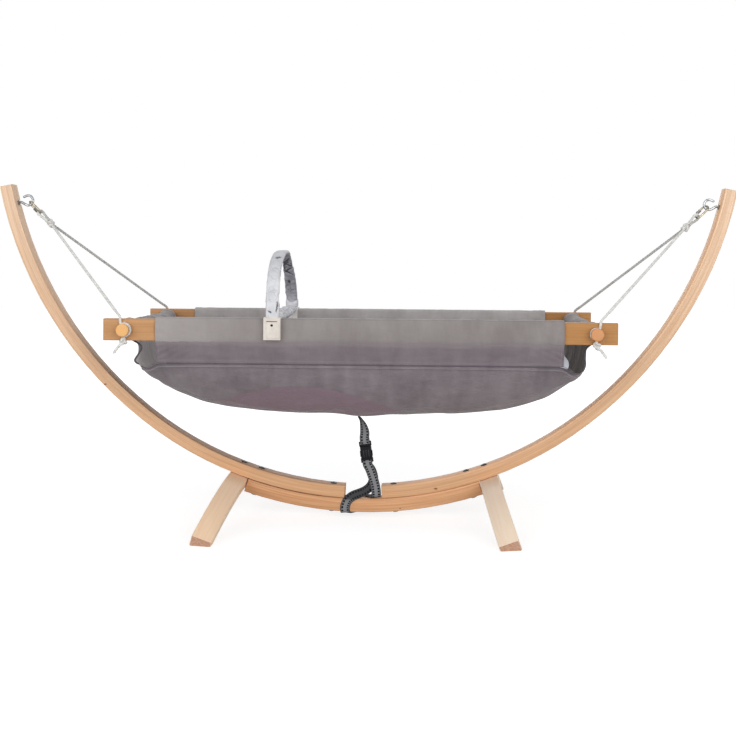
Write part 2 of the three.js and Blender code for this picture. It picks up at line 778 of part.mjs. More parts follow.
function addBasin() {
  const seam = seatGap / (2 * basinReach);
  place('bottom_panel', clothSolid(-endSplitShare, endSplitShare, 34, 12), finishes.bodyCloth);
  for (const [side, word] of [[-1, 'left'], [1, 'right']]) {
    const [from, to] = [side * (endSplitShare + seam), side].sort((a, b) => a - b);
    place(`${word}_end_panel`, clothSolid(from, to, 7, 12), finishes.bodyCloth);
    const length = 2 * (railInnerFace - tunnelEndGap);
    const tunnel = place(`${word}_rod_tunnel`, ovalTube(tunnelWidth, tunnelHeight, clothThickness, length),
      finishes.sleeveCloth);
    tunnel.position.set(side * rodPlace, 0, tunnelCentreHeight);
  }
}

// Toy bow: a springy strip in a fabric cover, held in a clamp on each rail
const clampInner = sleeveDepth / 2 + seatGap;
const pocketGap = bowCoverThickness + 2 * seatGap;
const bowHalfSpan = railOuterFace - railThickness / 2 + clampInner + clampWall + pocketGap / 2;
const bowFootHeight = railTop + clampRise - clampPocketDepth;
const bowStripFoot = bowFootHeight + clampWall + seatGap;
const bowBase = railTop + clampRise;

// The bow's middle line from its near foot to its far foot: shares of the half span and of the rise
// above the clamps; the far half leans in more than the near one
const bowShares = [
  [-1, 0],
  [-1, 0.04],
  [-0.997, 0.15],
  [-0.983, 0.3],
  [-0.95, 0.45],
  [-0.888, 0.6],
  [-0.808, 0.72],
  [-0.705, 0.82],
  [-0.577, 0.9],
  [-0.413, 0.96],
  [-0.245, 0.99],
  [0, 1],
  [0.14, 0.985],
  [0.27, 0.94],
  [0.4, 0.86],
  [0.53, 0.744],
  [0.645, 0.628],
  [0.74, 0.52],
  [0.838, 0.395],
  [0.93, 0.25],
  [0.984, 0.13],
  [1, 0.04],
  [1, 0],
];

function bowLine() {
  const points = bowShares.map(([y, z]) => new THREE.Vector3(-y * bowSkew, y * bowHalfSpan,
    bowBase + z * (bowTopHeight - bowBase)));
  points.unshift(new THREE.Vector3(bowSkew, -bowHalfSpan, bowStripFoot));
  points.push(new THREE.Vector3(-bowSkew, bowHalfSpan, bowStripFoot));
  return new THREE.CatmullRomCurve3(points);
}

function bowSweep(steps, section, below = 0) {
  const line = bowLine();
  const rings = [];
  for (let step = 0; step <= steps; step += 1) {
    const spot = line.getPointAt(step / steps);
    const ahead = line.getTangentAt(step / steps);
    const out = new THREE.Vector3(0, -ahead.z, ahead.y).normalize();
    rings.push(section.map(([w, t]) => new THREE.Vector3(-w, 0, 0).add(spot).addScaledVector(out, t)));
  }
  if (below > 0) {
    const lowered = (ring) => ring.map((spot) => new THREE.Vector3(spot.x, spot.y, spot.z - below));
    rings.unshift(lowered(rings[0]));
    rings.push(lowered(rings[rings.length - 1]));
  }
  return loft(rings);
}

function roundedSection(width, thickness) {
  const points = [];
  const count = 10;
  for (let step = 0; step < count; step += 1) {
    const angle = (tau * (step + 0.5)) / count;
    const soften = (value) => Math.sign(value) * Math.abs(value) ** 0.6;
    points.push([(width / 2) * soften(Math.cos(angle)), (thickness / 2) * soften(Math.sin(angle))]);
  }
  return points;
}

function rectangle(width, thickness) {
  return [[-1, -1], [1, -1], [1, 1], [-1, 1]].map(([w, t]) => [(w * width) / 2, (t * thickness) / 2]);
}

function addBow() {
  const group = new THREE.Group();
  group.position.x = bowPlace;
  part.add(group);
  const steps = 42;
  const slot = rectangle(bowStripWidth + 2 * seatGap, bowStripThickness + 2 * seatGap);
  const cover = cut(
    bowSweep(steps, roundedSection(bowCoverWidth, bowCoverThickness)),
    bowSweep(steps, slot, overrun),
  );
  place('bow_cover', cover, finishes.bowCloth, group);
  place('bow_strip', bowSweep(steps, rectangle(bowStripWidth, bowStripThickness)), finishes.strip, group);
  const strapEnd = railOuterFace - railThickness / 2 - clampInner - clampWall - 4 * seatGap;
  const height = railTop + crossStrapThickness / 2;
  const stops = [-1, -0.5, 0, 0.5, 1].map((share) => [
    [-share * bowSkew, share * strapEnd, height - crossStrapSag * (1 - share ** 2)],
    [1, 0, 0],
  ]);
  place('bow_cross_strap', ribbon(stops, crossStrapWidth, crossStrapThickness, 12), finishes.bowCloth, group);
  for (const [face, word] of [[-1, 'near'], [1, 'far']]) {
    addClamp(face, word, group);
  }
}

// A clamp saddles the rail and its sleeve, with a pocket for the bow on the outer side
function addClamp(face, word, group) {
  const railLine = railOuterFace - railThickness / 2;
  const top = railTop + clampRise;
  const bottom = railTop - clampDrop;
  const outerLine = bowHalfSpan + pocketGap / 2 + clampWall;
  const innerLine = railLine - clampInner - clampWall;
  const height = top - bottom;
  const saddle = block(clampWidth, outerLine - innerLine, height, 0, (outerLine + innerLine) / 2, (top + bottom) / 2);
  const throatTop = railCentreHeight + sleeveHeight / 2 + seatGap;
  const throat = block(clampWidth + overrun, 2 * clampInner, throatTop - bottom + overrun, 0, railLine,
    (throatTop + bottom - overrun) / 2);
  const pocketHeight = clampPocketDepth - clampWall + overrun;
  const pocket = block(bowCoverWidth + 2 * seatGap, pocketGap, pocketHeight, 0, bowHalfSpan,
    bowFootHeight + clampWall + pocketHeight / 2);
  const screwHeight = bowFootHeight + clampPocketDepth / 2;
  const hole = pillar(clampScrewDiameter + 2 * holeClearance, -clampWall, clampWall * 2, 8);
  hole.rotateX(-Math.PI / 2).translate(0, outerLine - clampWall, screwHeight);
  const body = cut(saddle, throat, pocket, hole);
  const turn = face < 0 ? Math.PI : 0;
  const clamp = place(`${word}_bow_clamp`, body, finishes.clamp, group);
  clamp.rotation.z = turn;
  clamp.position.x = -face * bowSkew;
  const headRadius = clampScrewHeadDiameter / 2;
  const shankRadius = clampScrewDiameter / 2;
  const screw = turned([
    [0, seatGap - clampWall],
    [shankRadius, seatGap - clampWall],
    [shankRadius, seatGap],
    [headRadius, seatGap],
    [headRadius * 0.7, seatGap + clampScrewDiameter / 2],
    [0, seatGap + clampScrewDiameter / 2],
  ], 12).rotateX(-Math.PI / 2).translate(0, outerLine, screwHeight);
  const head = place(`${word}_clamp_screw`, screw, finishes.buckle, group);
  head.rotation.z = turn;
  head.position.x = -face * bowSkew;
}

// Safety strap: an upper tail from the basin, a side-release buckle, and a loop round the centre beam
const bucklePlace = new THREE.Vector3(buckleAcross, buckleForward, buckleCentreHeight);
const buckleLean = THREE.MathUtils.degToRad(-7.5);

function addBuckle() {
  const group = new THREE.Group();
  group.position.copy(bucklePlace);
  group.rotation.y = buckleLean;
  part.add(group);
  const half = buckleHeight / 2;
  const slotWidth = webbingWidth + 2 * seatGap;
  const slotHeight = 3 * webbingThickness;
  const socketSlot = half - buckleWall - slotHeight / 2;
  const cavityWidth = plugTongueWidth + 2 * seatGap + buckleWall;
  const cavityTop = half + overrun;
  const cavityBottom = half - plugTongueLength - seatGap;
  const socket = cut(
    block(buckleWidth, buckleThickness, buckleHeight),
    block(cavityWidth, buckleThickness - 2 * buckleWall, cavityTop - cavityBottom, 0, 0, (cavityTop + cavityBottom) / 2),
    block(slotWidth, buckleThickness + overrun, slotHeight, 0, 0, -socketSlot),
    block(buckleWidth + overrun, buckleThickness - 2 * buckleWall, buckleHeight / 4, 0, 0, half / 3),
  );
  place('buckle_socket', socket, finishes.buckle, group);
  const tongueThickness = buckleThickness - 2 * buckleWall - 2 * seatGap;
  const frameMiddle = half + seatGap + plugFrameHeight / 2;
  const plug = join(
    cut(
      block(buckleWidth, plugFrameThickness, plugFrameHeight, 0, 0, frameMiddle),
      block(slotWidth, buckleThickness, slotHeight, 0, 0, frameMiddle + buckleWall / 2),
    ),
    block(plugTongueWidth, tongueThickness, plugTongueLength + plugFrameHeight / 4, 0, 0,
      half - plugTongueLength / 2 + plugFrameHeight / 8),
  );
  place('buckle_plug', plug, finishes.buckle, group);
  group.updateMatrixWorld();
  return {
    group,
    plugSlot: frameMiddle + buckleWall / 2,
    socketSlot: -socketSlot,
    barHalf: buckleThickness / 2,
  };
}

const acrossX = [1, 0, 0];

// The upper strap from the cloth to the plug: shares of its start's place, of the plug's place across
// the stand and of the fall to the plug's slot, then the direction that its width runs in
const strapFallShares = [
  [1, 0, 1, [0, 1, 0]],
  [0.5, 0, 0.849, [0.25, 1, 0]],
  [0.05, 0.4, 0.611, [0.75, 0.7, 0]],
  [-0.15, 1.2, 0.388, [1, 0.25, 0]],
];

// The turn through the plug's slot: shares of the reach round its bar and of the plug frame's height
const plugTurnShares = [
  [-1, 1.08],
  [-1, 0.385],
  [-0.8, 0.077],
  [0, 0],
  [0.8, 0.077],
  [1, 0.385],
  [1, 1.31],
];

// The lower strap's turns at the socket's bar: shares of the reach round the bar and of the buckle's height
const socketFrontShares = [
  [-0.11, 0],
  [-0.6, 0],
  [-1, -0.075],
  [-1, -0.225],
];
const socketBackShares = [
  [1, -0.35],
  [1, -0.075],
  [0.6, 0],
  [0.11, 0],
];

// The loop between them: shares of the belt's reach, of the wrap's half depth and of the wrap's height
// above its underside, then the direction that the width runs in
const beltShares = [
  [0.47, -0.58, 2.916, [0.97, 0, 0.2]],
  [0.758, -0.714, 2.286, [0.96, 0, 0.27]],
  [0.939, -0.826, 1.735, [0.97, 0, 0.24]],
  [1, -0.893, 1.367, [1, 0, 0.2]],
  [1, -0.826, 1.144, [1, 0.1, 0.12]],
  [0.97, -0.58, 1.016, [0.96, 0.3, 0]],
  [0.758, -0.179, 1.005, [0.84, 0.54, 0]],
  [0.485, 0.357, 1.003, [0.84, 0.54, 0]],
  [0.333, 0.714, 1, [0.9, 0.4, 0]],
  [0.303, 0.911, 0.979, [1, 0.1, 0]],
  [0.288, 1, 0.874, acrossX],
  [0.182, 1, 0.606, [0.96, 0, -0.28]],
  [-0.091, 1, 0.239, [0.96, 0, -0.28]],
  [-0.167, 0.955, 0.052, acrossX],
  [-0.197, 0.821, 0.008, acrossX],
  [-0.758, 0, 0, [0.75, -0.66, 0]],
  [-1.318, -0.821, 0.008, acrossX],
  [-1.348, -0.955, 0.052, acrossX],
  [-1.364, -1, 0.157, acrossX],
  [-1.379, -1, 0.344, [0.99, 0, -0.12]],
  [-1.273, -1.004, 0.685, [0.91, 0, -0.41]],
  [-1.091, -1.018, 0.921, [0.72, -0.1, -0.69]],
  [-0.788, -1, 1.126, [0.48, -0.2, -0.85]],
  [-0.333, -0.893, 1.283, [0.5, 0.1, -0.86]],
  [0.091, -0.692, 1.42, [0.5, 0.1, -0.86]],
  [0.439, -0.491, 1.63, [0.66, 0.2, -0.72]],
  [0.667, -0.313, 1.892, [0.9, 0.2, -0.38]],
  [0.758, -0.112, 2.181, [1, 0.1, -0.05]],
  [0.682, 0.045, 2.496, [1, 0, 0.15]],
  [0.53, 0.1, 2.798, [1, 0, 0.3]],
];

// A stop of a webbing route given in the buckle's own frame
function buckleStop(y, z, group) {
  const along = new THREE.Vector3(...acrossX).transformDirection(group.matrixWorld);
  return [new THREE.Vector3(0, y, z).applyMatrix4(group.matrixWorld).toArray(), along.toArray()];
}

function addStrap() {
  const { group, plugSlot, socketSlot, barHalf } = addBuckle();
  const topBar = plugFrameThickness / 2 + seatGap + webbingThickness;
  const strapTop = basinBottomHeight - strapTugDepth - clothThickness / 2 - 2 * seatGap;
  const slotHeight = bucklePlace.z + plugSlot;
  const fall = strapTop - slotHeight;
  const upper = [
    ...strapFallShares.map(([x, y, z, width]) => [
      [x * strapStart, y * buckleForward, slotHeight + z * fall],
      width,
    ]),
    ...plugTurnShares.map(([y, z]) => buckleStop(y * topBar, plugSlot + z * plugFrameHeight, group)),
  ];
  place('upper_strap', ribbon(upper, webbingWidth, webbingThickness, 30), finishes.webbing);
  const lift = 2 * seatGap + webbingThickness / 2;
  const under = floorClearance - lift + seatGap;
  const over = benchCentreHeight - seatRadius + lift + webbingThickness;
  const wrapHeight = over - under;
  const wrapHalfDepth = standDepth / 2 + lift;
  const pass = barHalf + seatGap + webbingThickness;
  const socketStop = ([y, z]) => buckleStop(y * pass, socketSlot + z * buckleHeight, group);
  const lower = [
    ...socketFrontShares.map(socketStop),
    ...beltShares.map(([x, y, z, width]) => [
      [x * beltReach, y * wrapHalfDepth, under + z * wrapHeight],
      width,
    ]),
    ...socketBackShares.map(socketStop),
  ];
  place('lower_strap', ribbon(lower, webbingWidth, webbingThickness, 93), finishes.webbing);
}

addStand();
for (const [side, word, clearance] of [[-1, 'left', seatGap], [1, 'right', openPivotClearance]]) {
  addLink(side, word);
  addRope(side, word, clearance);
}
addRailsAndRods();
addSleevesAndSides();
addBasin();
addBow();
addStrap();

export default part;
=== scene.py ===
"""Looks for the baby hammock on a bent wood stand.

Meshes are made in millimetres. The materials measure places in metres.
"""

import math

import bpy
import numpy as np
from mathutils import Matrix, Vector, noise


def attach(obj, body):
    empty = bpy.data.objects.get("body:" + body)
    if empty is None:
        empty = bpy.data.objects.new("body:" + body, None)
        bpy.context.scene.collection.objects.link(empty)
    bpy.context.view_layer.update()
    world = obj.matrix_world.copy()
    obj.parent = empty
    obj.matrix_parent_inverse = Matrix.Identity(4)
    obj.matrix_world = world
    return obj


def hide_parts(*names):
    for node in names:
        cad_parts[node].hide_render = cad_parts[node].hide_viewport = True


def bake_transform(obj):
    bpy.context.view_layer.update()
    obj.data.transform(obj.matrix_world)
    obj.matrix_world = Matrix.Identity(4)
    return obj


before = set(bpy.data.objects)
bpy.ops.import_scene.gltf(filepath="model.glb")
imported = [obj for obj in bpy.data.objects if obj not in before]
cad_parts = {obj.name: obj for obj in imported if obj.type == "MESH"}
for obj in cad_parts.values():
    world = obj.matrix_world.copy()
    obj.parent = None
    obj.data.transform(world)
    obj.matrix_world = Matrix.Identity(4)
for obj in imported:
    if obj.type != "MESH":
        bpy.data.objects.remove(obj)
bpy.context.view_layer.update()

MM = 0.001
TAU = 2 * math.pi
SIDES = ((-1, "left"), (1, "right"))
FACES = ((-1, "near"), (1, "far"))

# Camera, at the photograph's place

eye = Vector((0.1646, -2.7643, 0.672))
yaw = math.radians(1.59)
pitch = math.radians(0.52)
roll = math.radians(0.44)
ahead = Vector((-math.sin(yaw) * math.cos(pitch), math.cos(yaw) * math.cos(pitch), -math.sin(pitch)))
level = Vector((math.cos(yaw), math.sin(yaw), 0))
upright = level.cross(ahead)
right = level * math.cos(roll) + upright * math.sin(roll)
up = upright * math.cos(roll) - level * math.sin(roll)
camera_data = bpy.data.cameras.new("camera")
camera = bpy.data.objects.new("camera", camera_data)
bpy.context.scene.collection.objects.link(camera)
camera.matrix_world = Matrix((
    (right.x, up.x, -ahead.x, eye.x),
    (right.y, up.y, -ahead.y, eye.y),
    (right.z, up.z, -ahead.z, eye.z),
    (0, 0, 0, 1),
))
camera_data.sensor_width = 36
camera_data.lens = 53.51
camera_data.shift_x = -0.0435
camera_data.shift_y = -0.1467
camera_data.clip_start = 0.05
camera_data.clip_end = 60
bpy.context.scene.camera = camera
bpy.context.scene.view_settings.view_transform = "Standard"


# Colours and materials

def linear(colour):
    """A colour as it looks on screen, 0 to 255, turned into the shader's own values."""
    out = []
    for value in colour:
        share = value / 255
        out.append(share / 12.92 if share <= 0.04045 else ((share + 0.055) / 1.055) ** 2.4)
    return (*out, 1.0)


class Share:
    """A number in a node tree: a sum with it adds a maths node."""

    def __init__(self, nodes, socket):
        self.nodes = nodes
        self.socket = socket

    def __add__(self, other):
        return self.nodes.maths("ADD", self, other)

    def __sub__(self, other):
        return self.nodes.maths("SUBTRACT", self, other)

    def __rsub__(self, other):
        return self.nodes.maths("SUBTRACT", other, self)

    def __mul__(self, other):
        return self.nodes.maths("MULTIPLY", self, other)

    def __truediv__(self, other):
        return self.nodes.maths("DIVIDE", self, other)

    def __abs__(self):
        return self.nodes.maths("ABSOLUTE", self)

    __radd__ = __add__
    __rmul__ = __mul__


class Nodes:
    """A node tree and short calls that add nodes to it."""

    def __init__(self, owner):
        owner.use_nodes = True
        self.tree = owner.node_tree
        self.tree.nodes.clear()

    def put(self, value, socket):
        """Links a value or sets it; three numbers on a colour socket are a colour as on screen."""
        if isinstance(value, Share):
            value = value.socket
        if isinstance(value, bpy.types.NodeSocket):
            self.tree.links.new(value, socket)
        elif socket.type == "RGBA" and len(value) == 3:
            socket.default_value = linear(value)
        else:
            socket.default_value = value

    def node(self, kind, inputs=(), **settings):
        made = self.tree.nodes.new("ShaderNode" + kind)
        for key, value in settings.items():
            setattr(made, key, value)
        for key, value in dict(inputs).items():
            self.put(value, made.inputs[key])
        return made

    def share(self, kind, inputs, output=0, **settings):
        return Share(self, self.node(kind, inputs, **settings).outputs[output])

    def maths(self, operation, first, second=0.0):
        return self.share("Math", {0: first, 1: second}, operation=operation)

    def fraction(self, value):
        return self.maths("FRACT", value)

    def distance(self, x, z):
        return self.maths("SQRT", x * x + z * z)

    def place(self, kind="Object"):
        return self.node("TexCoord").outputs[kind]

    def split(self, vector):
        made = self.node("SeparateXYZ", {0: vector})
        return [Share(self, made.outputs[k]) for k in range(3)]

    def normal(self):
        return self.split(self.node("NewGeometry").outputs["Normal"])

    def vector(self, x, y, z):
        return self.node("CombineXYZ", {0: x, 1: y, 2: z}).outputs[0]

    def stretched(self, vector, x, y, z):
        made = self.node("VectorMath", {0: vector, 1: (x, y, z)}, operation="MULTIPLY")
        return made.outputs[0]

    def noise(self, vector, scale=1.0, detail=3.0, rough=0.5):
        return self.share("TexNoise", {"Vector": vector, "Scale": scale, "Detail": detail,
                                       "Roughness": rough}, "Fac")

    def ramp(self, value, *stops):
        made = self.node("ValToRGB", {0: value})
        elements = made.color_ramp.elements
        while len(elements) < len(stops):
            elements.new(0.5)
        for element, (place, colour) in zip(elements, stops):
            element.position = place
            element.color = colour
        return Share(self, made.outputs[0])

    def grey_ramp(self, value, *stops):
        return self.ramp(value, *[(place, (v, v, v, 1)) for place, v in stops])

    def mix(self, share, first, second, blend="MIX"):
        inputs = {0: share, 6: first, 7: second}
        return self.node("Mix", inputs, data_type="RGBA", blend_type=blend).outputs[2]


class Look(Nodes):
    """A procedural material round one shader."""

    def __init__(self, name, roughness=0.6, metallic=0.0, sheen=0.0, coat=0.0, specular=0.23):
        self.material = bpy.data.materials.new(name)
        super().__init__(self.material)
        self.shader = self.node("BsdfPrincipled", {
            "Roughness": roughness, "Metallic": metallic, "Sheen Weight": sheen,
            "Coat Weight": coat, "Specular IOR Level": specular})
        self.node("OutputMaterial", {"Surface": self.shader.outputs["BSDF"]})

    def colour(self, value):
        self.put(value, self.shader.inputs["Base Color"])

    def roughness(self, value):
        self.put(value, self.shader.inputs["Roughness"])

    def bump(self, height, strength=0.3, distance=0.0005):
        made = self.node("Bump", {"Height": height, "Strength": strength, "Distance": distance})
        self.put(made.outputs[0], self.shader.inputs["Normal"])


# The bend of the stand: two arcs on each side, in metres

BEND_CENTRE = 0.962614
BEND_RADIUS = 0.917
OUTER_BEND_RADIUS = 0.996
BEND_CHANGE = math.radians(36.9)
BEND_SHIFT = OUTER_BEND_RADIUS - BEND_RADIUS
KNOT_DARK = (118, 72, 44)
FOOT_ANGLE = 20.05
# Small knots of the stand: x, z, half width and half height
STAND_KNOTS = [
    (0.1825, 0.0735, 0.006, 0.0032),
    (-0.655, 0.327, 0.0045, 0.0028),
    (0.0935, 0.0225, 0.0026, 0.0018),
]


def bend_places(look):
    """The way along the bend, the depth outwards from the bend's outer face, and the place across it."""
    x, y, z = look.split(look.place())
    side = abs(x)
    drop = BEND_CENTRE - z
    near = look.distance(x, drop)
    angle = look.maths("ARCTAN2", side, drop)
    outer_x = side + BEND_SHIFT * math.sin(BEND_CHANGE)
    outer_z = BEND_CENTRE + BEND_SHIFT * math.cos(BEND_CHANGE) - z
    far = look.distance(outer_x, outer_z)
    changed = look.maths("GREATER_THAN", angle, BEND_CHANGE)
    inner_depth = near - BEND_RADIUS
    outer_depth = far - OUTER_BEND_RADIUS
    gap = outer_depth - inner_depth
    depth = gap * changed + inner_depth
    along = angle * 0.95
    signed = along * look.maths("SIGN", x)
    return signed, depth, y, (x, z)


def grain(look, along, depth, across, light, dark, ring, seed):
    """Fine streaks, wider bands and a slow change of tone along the wood."""
    fine_place = look.vector(along * 5.0, depth * 330.0, across * 330.0 + seed)
    fine = look.noise(fine_place, 1.0, 3.0, 0.55)
    wave_place = look.vector(along * 1.5, depth * 110.0, across * 42.0 + seed)
    band = look.noise(wave_place, 1.0, 2.0, 0.5)
    rings = look.fraction(band * ring)
    slow_place = look.vector(along * 3.0, depth * 9.0, across)
    slow = look.noise(slow_place, 1.0, 1.0, 0.5)
    streak = look.grey_ramp(fine, (0.33, 0.0), (0.62, 1.0))
    line = look.grey_ramp(rings, (0.0, 0.75), (0.5, 0.1), (1.0, 0.75))
    share = streak * 0.38 + line * 0.34 + slow * 0.28
    tone = look.mix(share, light, dark)
    return tone, streak


def stand_wood(name, layer, layer_start, light, dark, tip_tones, ring, seed):
    """Bent laminated wood, with thin dark glue lines between its layers and a few small knots."""
    look = Look(name, 0.5, specular=0.14)
    along, depth, across, (x, z) = bend_places(look)
    tone, streak = grain(look, along, depth, across, light, dark, ring, seed)
    high = look.grey_ramp(z, (0.05, 0.0), (0.75, 1.0))
    tone = look.mix(high * 0.8, tone, look.mix(streak, *tip_tones))
    stack = (depth - layer_start) / layer
    index = look.maths("FLOOR", stack)
    each = look.node("TexWhiteNoise", {"W": index + seed}, noise_dimensions="1D")
    layer_tone = look.grey_ramp(each.outputs["Value"], (0.0, 0.93), (1.0, 1.03))
    tone = look.mix(1.0, tone, layer_tone, "MULTIPLY")
    offset = look.fraction(stack) - 0.5
    edge = 0.5 - abs(offset)
    wobble = look.noise(look.vector(along * 40.0, index, seed)) * 0.05
    glue = look.grey_ramp(edge + wobble, (0.02, 1.0), (0.06, 0.0))
    tone = look.mix(glue * 0.42, tone, (150, 96, 62))
    for kx, kz, wide, high in STAND_KNOTS:
        dx = (x - kx) / wide
        dz = (z - kz) / high
        away = look.distance(dx, dz)
        spot = look.grey_ramp(away, (0.35, 0.85), (0.8, 0.35), (1.0, 0.0))
        tone = look.mix(spot, tone, KNOT_DARK)
    # Painted shade on the arms' inner faces, deepest low on the left, and a pale painted light tone on the
    # inner face at the right
    nx, ny, nz = look.normal()
    facing = nx * x + nz * (z - BEND_CENTRE)
    inner = look.grey_ramp(facing * -0.5 + 0.5, (0.55, 0.0), (0.75, 1.0))
    low = look.grey_ramp(z, (0.06, 0.55), (0.12, 0.95), (0.33, 0.85), (0.5, 0.3), (0.7, 0.1))
    right_painted_light_share = look.grey_ramp(x + 0.5, (0.35, 0.0), (0.65, 1.0))
    shaded_tone = look.mix(streak, (172, 134, 104), (132, 96, 70))
    inner_painted_light_shade = look.mix(right_painted_light_share, shaded_tone, (250, 200, 158))
    low = look.maths("MAXIMUM", low, right_painted_light_share * 0.9)
    tone = look.mix(inner * low, tone, inner_painted_light_shade)
    look.colour(tone)
    look.roughness(look.grey_ramp(streak, (0.0, 0.44), (1.0, 0.58)))
    height = streak * -0.3 - glue * 0.5
    look.bump(height, 0.2, 0.0003)
    return look.material


def end_grain(look, tone, along_normal, ring_place, pale, deep):
    """Growth rings where the wood is cut across, chosen by the direction that a face looks in."""
    turned = look.noise(ring_place, 26.0, 2.0, 0.5)
    rings = look.fraction(turned * 9.0)
    pores = look.noise(ring_place, 900.0, 2.0, 0.6)
    cut = look.mix(look.grey_ramp(rings, (0.0, 0.7), (0.6, 0.1), (1.0, 0.7)), pale, deep)
    cut = look.mix(look.grey_ramp(pores, (0.52, 0.0), (0.7, 0.45)), cut, deep)
    return look.mix(look.grey_ramp(along_normal, (0.75, 0.0), (0.85, 1.0)), tone, cut)


FOOT_TONES = {-1: ((255, 226, 194), (244, 206, 170)),
              1: ((255, 236, 212), (250, 222, 196))}


def foot_wood(name, side):
    """The foot's grain runs across the stand and follows its shallow arch."""
    look = Look(name, 0.5, coat=0.06)
    tilt = side * math.radians(FOOT_ANGLE)
    x, y, z = look.split(look.place())
    flat = x * math.cos(tilt) + z * math.sin(tilt)
    rise = z * math.cos(tilt) - x * math.sin(tilt)
    arch = y * y * 0.76 + rise
    tone, streak = grain(look, y, arch, flat, *FOOT_TONES[side], 3.0, 7.3)
    cross = look.vector(flat, arch, 0.0)
    tone = end_grain(look, tone, abs(look.normal()[1]), cross, (222, 180, 154), (190, 142, 114))
    look.colour(tone)
    look.roughness(look.grey_ramp(streak, (0.0, 0.45), (1.0, 0.6)))
    look.bump(streak, 0.2, 0.0003)
    return look.material


def rail_wood(name):
    """Straight-grained rails with cut ends."""
    look = Look(name, 0.5, coat=0.05)
    x, y, z = look.split(look.place())
    tone, streak = grain(look, x, z, y, (204, 155, 109), (174, 126, 81), 6.0, 3.1)
    cross = look.vector(y, z, 0.0)
    tone = end_grain(look, tone, abs(look.normal()[0]), cross, (190, 142, 96), (150, 101, 62))
    tone = look.mix(look.grey_ramp(x, (0.3, 0.0), (0.45, 1.0)), tone, (0.86, 0.79, 0.58, 1), "MULTIPLY")
    look.colour(tone)
    look.roughness(look.grey_ramp(streak, (0.0, 0.45), (1.0, 0.6)))
    look.bump(streak, 0.2, 0.0003)
    return look.material


# Middle of the rings on a rod's ends
RING_X = 0.5475
RING_Z = 0.479


def rod_wood(name, pale, deep):
    """Round rods with rings on their button ends."""
    look = Look(name, 0.48, coat=0.08)
    x, y, z = look.split(look.place())
    side = abs(x) - RING_X
    tone, streak = grain(look, y, z, side, pale, deep, 4.0, 1.7)
    cross = look.vector(side, z - RING_Z, 0.0)
    centre = look.node("VectorMath", {0: cross}, operation="LENGTH").outputs["Value"]
    warp = look.noise(cross, 60.0) * 0.0035
    rings = look.fraction((centre + warp) * 520.0)
    cut = look.mix(look.grey_ramp(rings, (0.0, 0.6), (0.7, 0.0), (1.0, 0.6)), pale, deep)
    flecks = look.noise(look.vector(side * 900.0, z * 300.0, 0.0))
    cut = look.mix(look.grey_ramp(flecks, (0.55, 0.0), (0.75, 0.5)), cut, deep)
    facing = look.grey_ramp(abs(look.normal()[1]), (0.75, 0.0), (0.9, 1.0))
    look.colour(look.mix(facing, tone, cut))
    look.bump(streak, 0.15, 0.0003)
    return look.material


WEAVE = 0.0007


